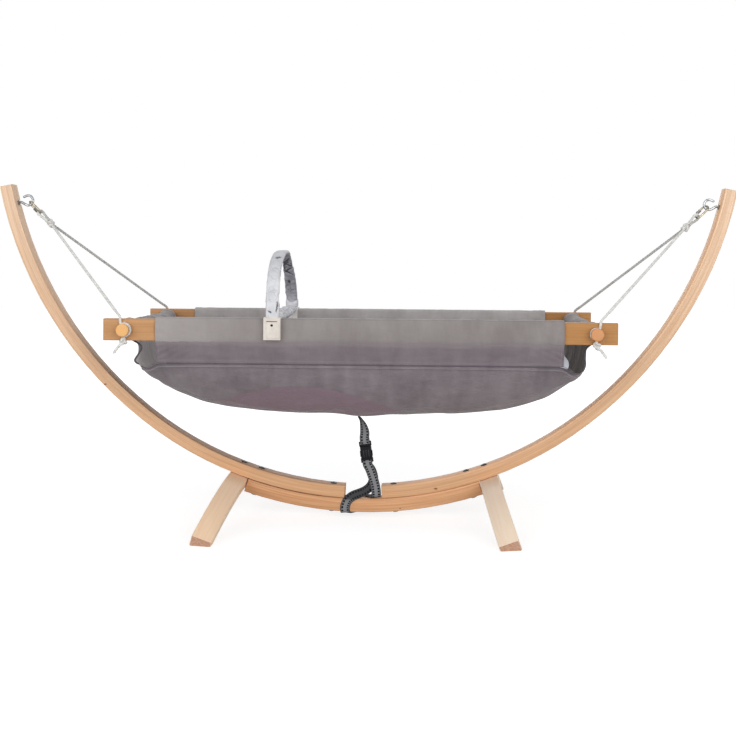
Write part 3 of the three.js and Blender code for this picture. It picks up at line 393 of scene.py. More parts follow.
def cloth(name, light, dark, crumple=0.3, painted_turn_under_shade=False, shade=None, inside=None):
    """Plain weave: crossing threads from the sheet's own measure in metres, with slow stains of tone.

    inside is for an end of the basin: the way from it to the middle, and two colours for its inner face,
    which paint light on it at the left end and shade at the right end.
    """
    look = Look(name, 0.82, sheen=0.25)
    look.shader.inputs["Sheen Roughness"].default_value = 0.4
    flat = look.place("UV")
    u, v = look.split(flat)[:2]
    turn = TAU / WEAVE
    warp = look.maths("SINE", u * turn)
    weft = look.maths("SINE", v * turn)
    threads = warp * weft * 0.5 + 0.5
    slub_u = look.noise(look.vector(u * 30.0, v * 900.0, 0.0), 1.0, 2.0)
    slub_v = look.noise(look.vector(u * 900.0, v * 30.0, 4.0), 1.0, 2.0)
    slow = look.noise(look.place(), 7.0, 3.0, 0.55)
    patch = look.noise(look.stretched(look.place(), 26.0, 12.0, 9.0), 1.0, 3.0, 0.6)
    slow = slow * 0.5 + patch * 0.5
    share = slow * 0.79 + slub_u * 0.1 + slub_v * 0.1
    tone = look.mix(look.grey_ramp(share, (0.4, 0.0), (0.6, 1.0)), light, dark)
    # The inner face of an end cloth gets painted light at the left end and painted shade at the right end
    if inside:
        way, inside_painted_pale, inside_painted_deep = inside
        facing = look.grey_ramp(look.normal()[0] * way, (0.05, 0.0), (0.3, 1.0))
        inner_painted_light_shade = look.mix(look.grey_ramp(share, (0.4, 0.0), (0.6, 1.0)), inside_painted_pale, inside_painted_deep)
        tone = look.mix(facing, tone, inner_painted_light_shade)
    tone = look.mix(0.12, tone, look.grey_ramp(threads, (0.0, 0.55), (1.0, 1.0)), "MULTIPLY")
    # Painted shade below the brow where the basin cloth turns under, and pale patches as painted highlights
    # on its folds
    if painted_turn_under_shade:
        x, y, z = look.split(look.place())
        off = x + 0.15
        brow = off * off * -1.15 + 0.343
        below = brow - z
        under = look.grey_ramp(below * 60.0 + 0.5, (0.38, 0.0), (0.5, 1.0))
        folds = look.noise(look.stretched(look.place(), 24.0, 5.0, 6.0), 1.0, 2.0, 0.4)
        tone = look.mix(look.grey_ramp(folds, (0.5, 0.0), (0.68, 0.4)), tone, (152, 144, 148))
        tone = look.mix(under * 0.92, tone, (137, 116, 126))
    if shade:
        x, y, z = look.split(look.place())
        uneven = look.noise(look.stretched(look.place(), 14.0, 1.0, 1.0)) * 0.012
        height = z + uneven
        if shade == "sleeve":
            # Painted shade: the near sleeve darkens towards its lower edge, where it turns under
            low = look.grey_ramp(height * 20.0 + -9.1, (0.0, 0.85), (0.12, 0.5), (0.3, 0.14), (0.85, 0.0))
            tone = look.mix(low, tone, (118, 109, 113))
            # Painted light: the near sleeve is lighter towards the left
            lit = look.grey_ramp(x + 0.5, (0.05, 0.6), (0.32, 0.0))
            tone = look.mix(lit, tone, (172, 165, 164))
        else:
            # Painted light: a lighter band along the panel's top, next to the sleeve
            top = look.grey_ramp(height * 40.0 + -17.8, (0.2, 0.0), (0.45, 0.45))
            tone = look.mix(top, tone, (141, 133, 132))
    look.colour(tone)
    look.roughness(look.grey_ramp(slow, (0.3, 0.74), (0.7, 0.9)))
    height = threads * 0.6 + slub_u * 0.4
    rumple = look.noise(look.stretched(look.place(), 16.0, 30.0, 22.0), 1.0, 3.0, 0.5)
    wide = look.node("Bump", {"Height": rumple, "Strength": crumple, "Distance": 0.012})
    fine = look.node("Bump", {"Height": height, "Strength": 0.28, "Distance": 0.0003,
                              "Normal": wide.outputs[0]})
    look.put(fine.outputs[0], look.shader.inputs["Normal"])
    return look.material


# Deep creases of the toy bow from the front, darkened as painted shade: x, z, half width and half height in
# metres, and lean
NEAR_CREASES = [(-0.2005, 0.6515, 0.0085, 0.0028, -0.05), (-0.19, 0.5385, 0.0026, 0.014, -0.1),
                (-0.206, 0.5265, 0.0042, 0.0028, 0.3)]
FAR_CREASES = [(-0.2225, 0.6245, 0.004, 0.013, 0.15), (-0.2165, 0.634, 0.010, 0.0042, -0.5),
               (-0.211, 0.642, 0.009, 0.004, -0.6), (-0.209, 0.631, 0.009, 0.003, 0.5),
               (-0.2105, 0.619, 0.011, 0.0032, -0.5), (-0.213, 0.6105, 0.011, 0.003, 0.5),
               (-0.2155, 0.5845, 0.0052, 0.0062, 0.0)]
CREASE_PAINTED_SHADE = (38, 38, 45)


def crinkled_cloth(name, light, vein, crease_shade_share=0.22, crease_shade_tone=(128, 128, 138), deep=()):
    """Pale toy-bow fabric with soft grey veins, and painted shade in its fine creases and a few deep ones."""
    look = Look(name, 0.8, sheen=0.2)
    place = look.place()
    bent = look.noise(place, 55.0, 3.0, 0.6)
    warped = look.node("VectorMath", {0: place, 1: look.vector(bent * 0.02, bent * 0.02, 0.0)},
                       operation="ADD").outputs[0]
    cells = look.node("TexVoronoi", {"Vector": warped, "Scale": 60.0}, feature="DISTANCE_TO_EDGE")
    crease = look.grey_ramp(cells.outputs["Distance"], (0.0, 1.0), (0.09, 0.0))
    slow = look.noise(place, 38.0, 3.0, 0.6)
    tone = look.mix(look.grey_ramp(slow, (0.42, 0.0), (0.72, 0.55)), light, vein)
    patches = look.grey_ramp(look.noise(place, 24.0, 1.0), (0.42, 0.15), (0.6, 1.0))
    # Painted shade along the fine creases
    tone = look.mix(crease * crease_shade_share * patches, tone, crease_shade_tone)
    height = slow - crease * 0.5
    ragged = look.noise(place, 260.0, 2.0, 0.6) * 0.9
    x, y, z = look.split(place)
    for mx, mz, wide, high, lean in deep:
        dz = z - mz
        dx = (dz * lean + x - mx) / wide
        dz = ((x - mx) * lean + dz) / high
        away = look.distance(dx, dz)
        spot = look.grey_ramp(away * 0.5 + ragged, (0.7, 1.0), (0.98, 0.0))
        # Painted shade in the deep creases
        tone = look.mix(spot * 0.85, tone, CREASE_PAINTED_SHADE)
        height = height - spot
    look.colour(tone)
    look.bump(height, 0.45, 0.0016)
    return look.material


# The strap's square dots: how far apart along it, their half share of that, their rows and their half width
DOT_PITCH = 0.0068
DOT_SHARE = 0.33
DOT_ROW = 0.0066
DOT_HALF = 0.0024
RIB_PITCH = 0.0016


def webbing_look(name):
    """Grey strap with two rows of black square dots and a ribbed weave; its measure is along and across."""
    look = Look(name, 0.85, sheen=0.1)
    u, v = look.split(look.place("UV"))[:2]
    step = look.fraction(u / DOT_PITCH)
    long_side = look.maths("LESS_THAN", abs(step - 0.5), DOT_SHARE)
    row = abs(abs(v) - DOT_ROW)
    short_side = look.maths("LESS_THAN", row, DOT_HALF)
    dots = long_side * short_side
    rib = look.maths("SINE", (u + abs(v)) * (TAU / RIB_PITCH))
    rib = rib * 0.5 + 0.5
    speck = look.noise(look.vector(u * 2200.0, v * 2200.0, 0.0))
    tone = look.mix(rib * 0.5, (140, 141, 144), (96, 97, 100))
    tone = look.mix(look.grey_ramp(speck, (0.45, 0.0), (0.8, 0.4)), tone, (134, 134, 138))
    border = look.grey_ramp(abs(v), (0.0, 0.0), (0.0096, 0.0), (0.0112, 1.0))
    tone = look.mix(border, tone, (46, 46, 50))
    # Painted shadow: darker on the sloping band behind the front ply and on the top of the upper strap
    x, y, z = look.split(look.place())
    behind = 0.0415 - (z * 0.31 + x)
    rising = look.grey_ramp(z * 15.0 + -0.5, (0.1, 0.0), (0.2, 1.0), (0.88, 1.0), (0.96, 0.0))
    shaded = rising * look.grey_ramp(behind * 400.0, (0.0, 0.0), (1.0, 0.92))
    shaded = look.maths("MAXIMUM", shaded, look.grey_ramp(z * 4.0, (0.944, 0.0), (0.98, 0.8)))
    tone = look.mix(shaded, tone, (58, 59, 62))
    look.colour(look.mix(dots, tone, (6, 6, 8)))
    look.bump(rib + dots * 0.4, 0.35, 0.0003)
    return look.material


def rope_look(name, light, dark):
    """Soft white line: fibres run round the strands, darker between them."""
    look = Look(name, 0.9, sheen=0.3)
    u, v = look.split(look.place("UV"))[:2]
    fibres = look.noise(look.vector(u * 400.0, v * 3000.0, 0.0), 1.0, 3.0)
    slow = look.noise(look.place(), 130.0, 2.0, 0.6)
    share = look.grey_ramp(slow, (0.4, 0.0), (0.7, 0.8))
    look.colour(look.mix(fibres * 0.35 + share * 0.5, light, dark))
    look.bump(fibres, 0.4, 0.0003)
    return look.material


def metal(name, light, dark, roughness):
    """Plated steel with fine scratches and a little dullness."""
    look = Look(name, roughness, metallic=1.0)
    place = look.place()
    fine = look.noise(look.stretched(place, 300.0, 300.0, 1800.0), 1.0, 3.0, 0.6)
    dull = look.noise(place, 140.0, 3.0, 0.6)
    look.colour(look.mix(look.grey_ramp(dull, (0.35, 0.0), (0.75, 1.0)), light, dark))
    look.roughness(look.grey_ramp(dull, (0.3, roughness * 0.8), (0.8, roughness * 1.5)))
    look.bump(fine, 0.12, 0.0002)
    return look.material


def plastic(name, light, dark, roughness, specular=0.23):
    """Moulded plastic with a fine texture and slight rubbing."""
    look = Look(name, roughness, specular=specular)
    place = look.place()
    grains = look.noise(place, 1800.0, 2.0, 0.6)
    slow = look.noise(place, 45.0, 3.0, 0.6)
    look.colour(look.mix(look.grey_ramp(slow, (0.35, 0.0), (0.75, 1.0)), light, dark))
    look.roughness(look.grey_ramp(slow, (0.3, roughness * 0.85), (0.8, min(roughness * 1.25, 1.0))))
    look.bump(grains, 0.25, 0.0002)
    return look.material


TIP_TONES = ((246, 218, 190), (228, 194, 163))
arm_look = stand_wood("arm_wood", 0.0105, -0.0362, (234, 190, 148), (206, 152, 108), TIP_TONES, 5.0, 0.0)
beam_look = stand_wood("beam_wood", 0.0108, -0.0048, (240, 192, 148), (190, 126, 80), TIP_TONES, 7.0, 5.0)
foot_looks = {-1: foot_wood("left_foot_wood", -1), 1: foot_wood("right_foot_wood", 1)}
rail_look = rail_wood("rail_wood")
rod_looks = {
    -1: rod_wood("left_rod_wood", (240, 188, 124), (212, 150, 84)),
    1: rod_wood("right_rod_wood", (214, 154, 104), (184, 119, 71)),
}
sleeve_look = cloth("sleeve_cloth", (158, 151, 150), (145, 137, 136))
near_sleeve_look = cloth("near_sleeve_cloth", (148, 142, 140), (133, 126, 124), shade="sleeve")
# The far sleeve is the same cloth in a lighter colour: painted light
far_sleeve_painted_light = cloth("far_sleeve_cloth", (188, 183, 181), (168, 163, 161))
panel_look = cloth("panel_cloth", (128, 119, 124), (115, 105, 111), shade="panel")
# The basin cloth, with painted shade where it turns under
basin_look = cloth("basin_cloth", (140, 131, 136), (119, 109, 115), 0.6, True)
BASIN_TONES = ((137, 127, 132), (119, 108, 114))
# The ends' inner faces: pale at the left end as painted light, dark at the right end as painted shade
end_looks = {
    -1: cloth("left_end_cloth", *BASIN_TONES, 0.5, inside=(1, (214, 207, 206), (190, 182, 182))),
    1: cloth("right_end_cloth", *BASIN_TONES, 0.6, inside=(-1, (112, 105, 100), (86, 80, 76))),
}
# Pale cloth for the near panel's end flap: painted highlight
flap_painted_highlight = cloth("flap_cloth", (206, 208, 214), (176, 178, 186))
# The welt's darker colour is painted shade along the seam
seam_welt_painted_shade = cloth("seam_cloth", (102, 93, 99), (84, 76, 82))
binding_look = cloth("binding_cloth", (92, 88, 92), (74, 70, 75))
bow_look = crinkled_cloth("bow_cloth", (217, 217, 220), (186, 186, 192), 0.3, deep=NEAR_CREASES)
# A darker copy of the bow cloth for the inner side of the bow's arch: painted shade
bow_inner_painted_shade = crinkled_cloth("bow_inner_painted_shade", (182, 182, 190), (126, 126, 136), 0.9, (58, 58, 68),
                            FAR_CREASES)
cross_look = crinkled_cloth("bow_strap_cloth", (226, 226, 230), (168, 168, 178), 0.95,
                            (84, 84, 94))
webbing = webbing_look("strap_webbing")
near_rope_look = rope_look("rope_near", (236, 235, 231), (168, 167, 164))
# The far ropes are the same rope in a darker colour: painted shade
far_rope_painted_shade = rope_look("rope_far", (204, 203, 200), (122, 121, 119))
steel_look = metal("bright_steel", (176, 178, 180), (98, 99, 99), 0.24)
brass_look = metal("link_steel", (186, 178, 158), (104, 96, 80), 0.3)
nut_look = metal("nut_steel", (150, 148, 142), (92, 90, 86), 0.4)
dark_steel_look = metal("dark_steel", (92, 90, 86), (48, 47, 46), 0.42)
clamp_look = plastic("clamp_plastic", (222, 215, 206), (204, 194, 184), 0.5)
# The far clamp's paler copy of the clamp plastic: painted light
far_clamp_painted_light = plastic("far_clamp_plastic", (250, 247, 243), (238, 234, 229), 0.5)
# Paler plastic for the buckle's ribs: painted highlight
buckle_rib_painted_highlight = plastic("buckle_edges", (66, 66, 70), (40, 40, 44), 0.25)
# Dark plastic for the strip along each clamp's top gap: painted shade
clamp_gap_painted_shade = plastic("clamp_gap", (96, 90, 84), (60, 56, 52), 0.7)
strip_look = plastic("strip_plastic", (216, 216, 212), (200, 200, 196), 0.5)
buckle_look = plastic("buckle_plastic", (24, 24, 28), (10, 10, 13), 0.3, 0.13)
# Grey plastic for the buckle's foot bar and two glints: painted highlights
buckle_painted_highlight = plastic("buckle_bar", (92, 92, 96), (58, 58, 62), 0.4)
# Hem thread in a pale colour that is a painted highlight along a crease
hem_thread_painted_highlight = plastic("hem_thread", (156, 149, 152), (132, 124, 129), 0.8)
thread_look = plastic("seam_thread", (112, 104, 110), (88, 82, 87), 0.8)


# Mesh helpers

def build(name, points, faces, look, body, slot=None, stands_for=(), uv=None, flat=False):
    """A mesh piece from points in millimetres, which rides on a body."""
    mesh = bpy.data.meshes.new(name)
    mesh.from_pydata((np.asarray(points, float) * MM).tolist(), [], [list(face) for face in faces])
    mesh.update()
    if not flat:
        mesh.polygons.foreach_set("use_smooth", [True] * len(mesh.polygons))
    if uv is not None:
        layer = mesh.uv_layers.new(name="measure")
        places = np.asarray(uv, float)
        index = np.zeros(len(mesh.loops), int)
        mesh.loops.foreach_get("vertex_index", index)
        layer.data.foreach_set("uv", places[index].ravel())
    mesh.materials.append(look)
    piece = bpy.data.objects.new(name, mesh)
    bpy.context.scene.collection.objects.link(piece)
    if body:
        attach(piece, body)
    if stands_for:
        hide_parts(*stands_for)
    return piece


def add_modifier(piece, kind, **settings):
    made = piece.modifiers.new(kind.lower(), kind)
    for key, value in settings.items():
        setattr(made, key, value)


def thicken(piece, thickness, offset=0.0):
    add_modifier(piece, "SOLIDIFY", thickness=thickness * MM, offset=offset, use_even_offset=False)


def spline(stops, count):
    """The same curve as the solids': a centripetal spline through the stops, evenly stepped between them."""
    p = np.asarray(stops, float)
    p = np.vstack([2 * p[0] - p[1], p, 2 * p[-1] - p[-2]])
    spans = len(p) - 3
    out = []
    for step in range(count + 1):
        place = step / count * spans
        k = min(int(place), spans - 1)
        w = place - k
        a, b, c, d = p[k:k + 4]
        first = np.linalg.norm(b - a) ** 0.5
        second = np.linalg.norm(c - b) ** 0.5
        third = np.linalg.norm(d - c) ** 0.5
        if second < 1e-4:
            second = 1.0
        if first < 1e-4:
            first = second
        if third < 1e-4:
            third = second
        leave = ((b - a) / first - (c - a) / (first + second) + (c - b) / second) * second
        enter = ((c - b) / second - (d - b) / (second + third) + (d - c) / third) * second
        square = -3 * b + 3 * c - 2 * leave - enter
        cube = 2 * b - 2 * c + leave + enter
        out.append(b + leave * w + square * w ** 2 + cube * w ** 3)
    return np.array(out)


def lengths_along(points):
    steps = np.linalg.norm(np.diff(points, axis=0), axis=1)
    return np.concatenate([[0], np.cumsum(steps)])


def spaced(points, step):
    """The same line with points an even way apart."""
    points = np.asarray(points, float)
    run = lengths_along(points)
    count = max(2, int(round(run[-1] / step)))
    want = np.linspace(0, run[-1], count + 1)
    return np.stack([np.interp(want, run, points[:, k]) for k in range(3)], 1)


def carried_frames(points, start):
    """Directions across a line that turn with it and don't twist."""
    ahead_of = np.gradient(points, axis=0)
    ahead_of /= np.linalg.norm(ahead_of, axis=1)[:, None]
    side = np.array(start, float)
    sides = []
    for direction in ahead_of:
        side = side - direction * (side @ direction)
        side /= np.linalg.norm(side)
        sides.append(side)
    sides = np.array(sides)
    return ahead_of, sides, np.cross(ahead_of, sides)


def ring_mesh(rings, closed_ring=True, turned=False):
    """Points and faces of a tube through rings, open at its ends."""
    rings = np.asarray(rings, float)
    rows, columns = rings.shape[:2]
    faces = []
    last = columns if closed_ring else columns - 1
    for row in range(rows - 1):
        for column in range(last):
            here = row * columns + column
            beside = row * columns + (column + 1) % columns
            faces.append((here, beside, beside + columns, here + columns))
    if turned:
        faces = [face[::-1] for face in faces]
    return rings.reshape(-1, 3), faces


def closed_tube(rings):
    """Points and faces of a tube through rings, each end closed with a fan to a middle point."""
    points, faces = ring_mesh(rings)
    rows = len(rings)
    columns = len(rings[0])
    points = list(map(tuple, points))
    for row, turn in ((0, 1), (rows - 1, -1)):
        ring = range(row * columns, (row + 1) * columns)
        middle = np.mean([points[k] for k in ring], axis=0)
        points.append(tuple(middle))
        centre = len(points) - 1
        for column in range(columns):
            a = row * columns + column
            b = row * columns + (column + 1) % columns
            faces.append((centre, b, a) if turn > 0 else (centre, a, b))
    return np.array(points), faces


def skin(name, rings, look, body, thickness, offset=0, turned=False, **more):
    """An open sheet through rows of points, given its thickness."""
    points, faces = ring_mesh(rings, False, turned)
    piece = build(name, points, faces, look, body, **more)
    thicken(piece, thickness, offset)
    return piece


def squarish(value, power):
    """A sine or cosine bent towards the corners of a box."""
    return math.copysign(abs(value) ** power, value)


def tube_piece(name, line, radius, look, body, sides=16, shape=None, **more):
    """A round-ended tube along a line; shape gives the radius share for an angle and a way along."""
    line = np.asarray(line, float)
    run = lengths_along(line)
    ahead_of, side, other = carried_frames(line, (0.3, 0.9, 0.2))
    angles = np.arange(sides) * TAU / sides
    radii = np.full(len(line), radius, float)
    for k, way in enumerate(run):
        left = min(way, run[-1] - way)
        if left < radius:
            radii[k] = radius * max(math.sqrt(max(1 - (1 - left / radius) ** 2, 0)), 0.15)
    rings = []
    uv = []
    for k in range(len(line)):
        share = np.ones(sides) if shape is None else shape(angles, run[k])
        r = radii[k] * share
        rings.append(line[k] + np.outer(np.cos(angles) * r, side[k]) + np.outer(np.sin(angles) * r, other[k]))
        uv += [(run[k] * MM, abs(angle - math.pi) * radius * MM) for angle in angles]
    points, faces = closed_tube(rings)
    uv += [(0, 0), (run[-1] * MM, 0)]
    return build(name, points, faces, look, body, uv=uv, **more)


def lathe(name, profile, sides, look, body, matrix=None, **more):
    """A turned piece about Z from radius and height pairs, put in place by a matrix in millimetres."""
    profile = [(max(r, 0.001), h) for r, h in profile]
    angles = np.arange(sides) * TAU / sides
    rings = [np.stack([np.cos(angles) * r, np.sin(angles) * r, np.full(sides, h)], 1) for r, h in profile]
    points, faces = closed_tube(rings)
    if matrix is not None:
        points = np.array([matrix @ Vector(p) for p in points])
    return build(name, points, faces, look, body, **more)


def towards(direction, at):
    """A matrix whose Z axis points along a direction, at a place."""
    turn = Vector(direction).to_track_quat("Z", "Y").to_matrix().to_4x4()
    return Matrix.Translation(Vector(at)) @ turn


def stitches(name, line, side_way, gap, length, look, body, thick=0.45):
    """A row of short thread stitches along a line; side_way is the direction out of the cloth."""
    spots = spaced(line, gap)
    points = []
    faces = []
    for first, second in zip(spots[:-1], spots[1:]):
        middle = (first + second) / 2
        ahead_of = (second - first) / np.linalg.norm(second - first)
        out = np.array(side_way(middle), float)
        out -= ahead_of * (out @ ahead_of)
        out /= np.linalg.norm(out)
        beside = np.cross(ahead_of, out)
        base = len(points)
        for way, size in ((-0.5, 0.2), (-0.32, 1.0), (0.32, 1.0), (0.5, 0.2)):
            for turn in range(6):
                angle = turn * TAU / 6
                reach = out * math.sin(angle) * thick * size + beside * math.cos(angle) * thick * size
                points.append(middle + ahead_of * way * length + reach)
        for row in range(3):
            for turn in range(6):
                a = base + row * 6 + turn
                b = base + row * 6 + (turn + 1) % 6
                faces.append((a, b, b + 6, a + 6))
    return build(name, points, faces, look, body)


def hashed(x, y, z=0.0, scale=1.0):
    return noise.noise(Vector((x * scale, y * scale, z * scale)))


# Floor, world and lamps

def seen_by_lens(nodes):
    """One for rays from the camera or sent on by metal or clear surfaces, and zero for the rest."""
    rays = nodes.node("LightPath").outputs
    seen = nodes.maths("MAXIMUM", rays["Is Camera Ray"], rays["Is Glossy Ray"])
    return nodes.maths("MAXIMUM", seen, rays["Is Transmission Ray"])


FLOOR_REACH = 9.0
floor_mesh = bpy.data.meshes.new("floor")
floor_corners = [(x * FLOOR_REACH, y * FLOOR_REACH, 0) for x, y in ((-1, -1), (1, -1), (1, 1), (-1, 1))]
floor_mesh.from_pydata(floor_corners, [], [(0, 1, 2, 3)])
floor = bpy.data.objects.new("floor", floor_mesh)
bpy.context.scene.collection.objects.link(floor)
floor_material = bpy.data.materials.new("floor")
floor_mesh.materials.append(floor_material)
nodes = Nodes(floor_material)
plain = nodes.node("BsdfDiffuse", {"Color": (0.62, 0.62, 0.62, 1)})
shown = nodes.node("BsdfDiffuse", {"Color": (0.42, 0.42, 0.42, 1)})
away = nodes.node("VectorMath", {0: nodes.place()}, operation="LENGTH").outputs["Value"]
strength = nodes.node("MapRange", {"Value": away, "From Min": 0.7, "From Max": 1.9,
                                   "To Min": 0.76, "To Max": 1.0})
glow = nodes.node("Emission", {"Strength": strength.outputs[0]})
both = nodes.node("AddShader", {0: shown.outputs[0], 1: glow.outputs[0]})
choose = nodes.node("MixShader", {0: seen_by_lens(nodes), 1: plain.outputs[0], 2: both.outputs[0]})
nodes.node("OutputMaterial", {"Surface": choose.outputs[0]})

world = bpy.data.worlds.new("studio")
bpy.context.scene.world = world
nodes = Nodes(world)
light = nodes.node("Background", {"Color": (0.97, 0.985, 1.0, 1), "Strength": 0.46})
white = nodes.node("Background", {"Color": (1, 1, 1, 1), "Strength": 1.0})
pick = nodes.node("MixShader", {0: seen_by_lens(nodes), 1: light.outputs[0], 2: white.outputs[0]})
nodes.node("OutputWorld", {"Surface": pick.outputs[0]})


def lamp(name, at, watts):
    data = bpy.data.lights.new(name, "AREA")
    data.shape = "SQUARE"
    data.size = LAMP_SIZE
    data.energy = watts
    made = bpy.data.objects.new(name, data)
    bpy.context.scene.collection.objects.link(made)
    made.location = at
    made.rotation_mode = "QUATERNION"
    made.rotation_quaternion = (LAMP_AIM - Vector(at)).to_track_quat("-Z", "Y")


LAMP_AIM = Vector((0, 0, 0.4))
LAMP_SIZE = 2.4
lamp("right_key", (1.7, -3.4, 1.3), 60)
lamp("left_key", (-1.9, -3.3, 1.4), 50)
lamp("back", (0.4, 3.6, 1.9), 26)


# Finishes of the solids that stay

WELD_REACH = 0.00002
SHARP_EDGE = math.radians(38)


def smooth_solid(node, look):
    """Gives a carried-over solid its finish and even shading, without a change to its points."""
    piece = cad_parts[node]
    if "custom_normal" in piece.data.attributes:
        piece.data.attributes.remove(piece.data.attributes["custom_normal"])
    piece.data.polygons.foreach_set("use_smooth", [True] * len(piece.data.polygons))
    piece.data.materials.clear()
    piece.data.materials.append(look)
    add_modifier(piece, "WELD", merge_threshold=WELD_REACH)
    add_modifier(piece, "EDGE_SPLIT", split_angle=SHARP_EDGE)


SOLID_LOOKS = [
    (arm_look, "left_arm", "right_arm"),
    (beam_look, "centre_beam"),
    (foot_looks[-1], "left_foot"),
    (foot_looks[1], "right_foot"),
    (rail_look, "near_rail", "far_rail"),
    (clamp_look, "near_bow_clamp"),
    (far_clamp_painted_light, "far_bow_clamp"),
    (steel_look, "left_link_sleeve", "right_link_sleeve", "left_hook_collar", "right_hook_collar"),
    (strip_look, "bow_strip"),
]
for look, *names in SOLID_LOOKS:
    for node in names:
        smooth_solid(node, look)


# Bolts and sleeve nuts, with the sizes and places of their solids

SEAT_FACE = -917.614
BEAM_UNDERSIDE = SEAT_FACE - 34
FOOT_UNDERSIDE = SEAT_FACE - 32
ARM_DEPTH = 31
ARM_INNER_FACE = -(917 - ARM_DEPTH)
HEAD_RADIUS = 9
SOCKET_RADIUS = 3
# What each bolt holds, its degrees round the bend from the middle, and where its nut sits
BOLTS = [
    ("inner_joint", 4.9, BEAM_UNDERSIDE),
    ("outer_joint", 17.0, BEAM_UNDERSIDE),
    ("foot", FOOT_ANGLE, FOOT_UNDERSIDE),
]


def bolt_look(name, side, degrees, underside):
    angle = math.radians(degrees)
    place = Matrix.Translation((0, 0, BEND_CENTRE / MM)) @ Matrix.Rotation(-side * angle, 4, "Y")
    base = ARM_INNER_FACE + 0.6
    crown = base + 3
    rim = HEAD_RADIUS - 0.6
    profile = [(4, underside + 3), (4, base), (rim - 0.5, base), (rim, base + 0.4), (rim, base + 0.8),
               (rim - 0.8, base + 1.6), (rim - 2.4, crown - 0.6), (rim - 4.0, crown - 0.4),
               (SOCKET_RADIUS + 0.3, crown - 0.4), (SOCKET_RADIUS, crown - 0.8), (SOCKET_RADIUS, crown - 2.4)]
    lathe(f"{name}_bolt_look", profile, 36, dark_steel_look, "stand", place, slot="dark_steel",
          stands_for=(f"{name}_bolt",))
    low = underside - 0.3
    flange = low - 4
    nut = [(2.6, flange + 2.4), (2.6, flange + 0.3), (3.0, flange), (6.4, flange), (7.9, flange + 0.7),
           (8.5, flange + 2), (8.5, low), (5.5, low), (5.5, underside + 24)]
    lathe(f"{name}_nut_look", nut, 36, nut_look, "stand", place, slot="dark_steel",
          stands_for=(f"{name}_sleeve_nut",))


for side, word in SIDES:
    for joint, degrees, underside in BOLTS:
        bolt_look(f"{word}_{joint}", side, degrees, underside)


# Hooks and quick links, round where their solids have a few sides

HOOK_ANGLE = math.radians(75.55)
HOOK_WIRE = 6.3
HOOK_BEND = 12.5
HOOK_REACH = 26
HOOK_SHANK = 24
COLLAR_HEIGHT = 4.5
HOOK_TIP_ANGLE = math.radians(112)
HOOK_TIP_LENGTH = 7
LINK_WIRE = 5
LINK_INNER = 14
LINK_LENGTH = 44
LINK_TWIST = math.radians(30)
HOOK_LINK_PLAY = 0.9
LOOP_LENGTH = 37
ROPE = 6.5
ROD_X = 549
NECK_RADIUS = 11
RAIL_Z = 481
RAIL_TOP = 506.5
RAIL_OUTER = 226
HITCH_DROP = 27
TAIL_REACH = 23
TAIL_DROP = 55
SEAT_GAP = 0.3
OPEN_PIVOT = 1.8


def hook_frame(side):
    centre_x = -side * BEND_SHIFT / MM * math.sin(BEND_CHANGE)
    centre_z = (BEND_CENTRE + BEND_SHIFT * math.cos(BEND_CHANGE)) / MM
    inner = OUTER_BEND_RADIUS / MM - ARM_DEPTH
    face = np.array([centre_x + side * inner * math.sin(HOOK_ANGLE), 0,
                     centre_z - inner * math.cos(HOOK_ANGLE)])
    out = np.array([-side * math.sin(HOOK_ANGLE), 0, math.cos(HOOK_ANGLE)])
    rise = np.array([side * math.cos(HOOK_ANGLE), 0, math.sin(HOOK_ANGLE)])
    return face, out, rise


def hook_at(side, along, above):
    face, out, rise = hook_frame(side)
    return face + out * along + rise * above


def unit(vector):
    vector = np.asarray(vector, float)
    return vector / np.linalg.norm(vector)


def pull(side, clearance):
    centre = hook_at(side, HOOK_REACH, 0)
    rod = np.array([side * ROD_X, 0, RAIL_Z], float)
    along = unit(rod - centre)
    level_way = np.cross([0, 1, 0], along)
    wide = np.array([0, math.cos(LINK_TWIST), 0]) + level_way * math.sin(LINK_TWIST)
    flat = np.cross(along, wide)
    bow_top = centre + along * (HOOK_BEND - HOOK_WIRE / 2 - HOOK_LINK_PLAY - LINK_WIRE / 2)
    pivot = bow_top + along * (LINK_LENGTH - LINK_WIRE)
    knot = pivot + along * LOOP_LENGTH
    return along, wide, flat, bow_top, pivot, knot, LINK_WIRE / 2 + clearance + ROPE / 2


def hook_line(side):
    neck = COLLAR_HEIGHT + HOOK_WIRE / 2
    points = [hook_at(side, -HOOK_SHANK, 0), hook_at(side, -HOOK_SHANK / 2, 0), hook_at(side, 0, 0),
              hook_at(side, neck, 0), hook_at(side, neck + HOOK_WIRE, -HOOK_BEND * 0.45)]
    angle = -math.pi * 0.62
    while angle <= HOOK_TIP_ANGLE:
        points.append(hook_at(side, HOOK_REACH + HOOK_BEND * math.cos(angle), HOOK_BEND * math.sin(angle)))
        angle += math.pi / 9
    points.append(points[-1] + unit(points[-1] - points[-2]) * HOOK_TIP_LENGTH)
    return spline(points, 10 * (len(points) - 1))


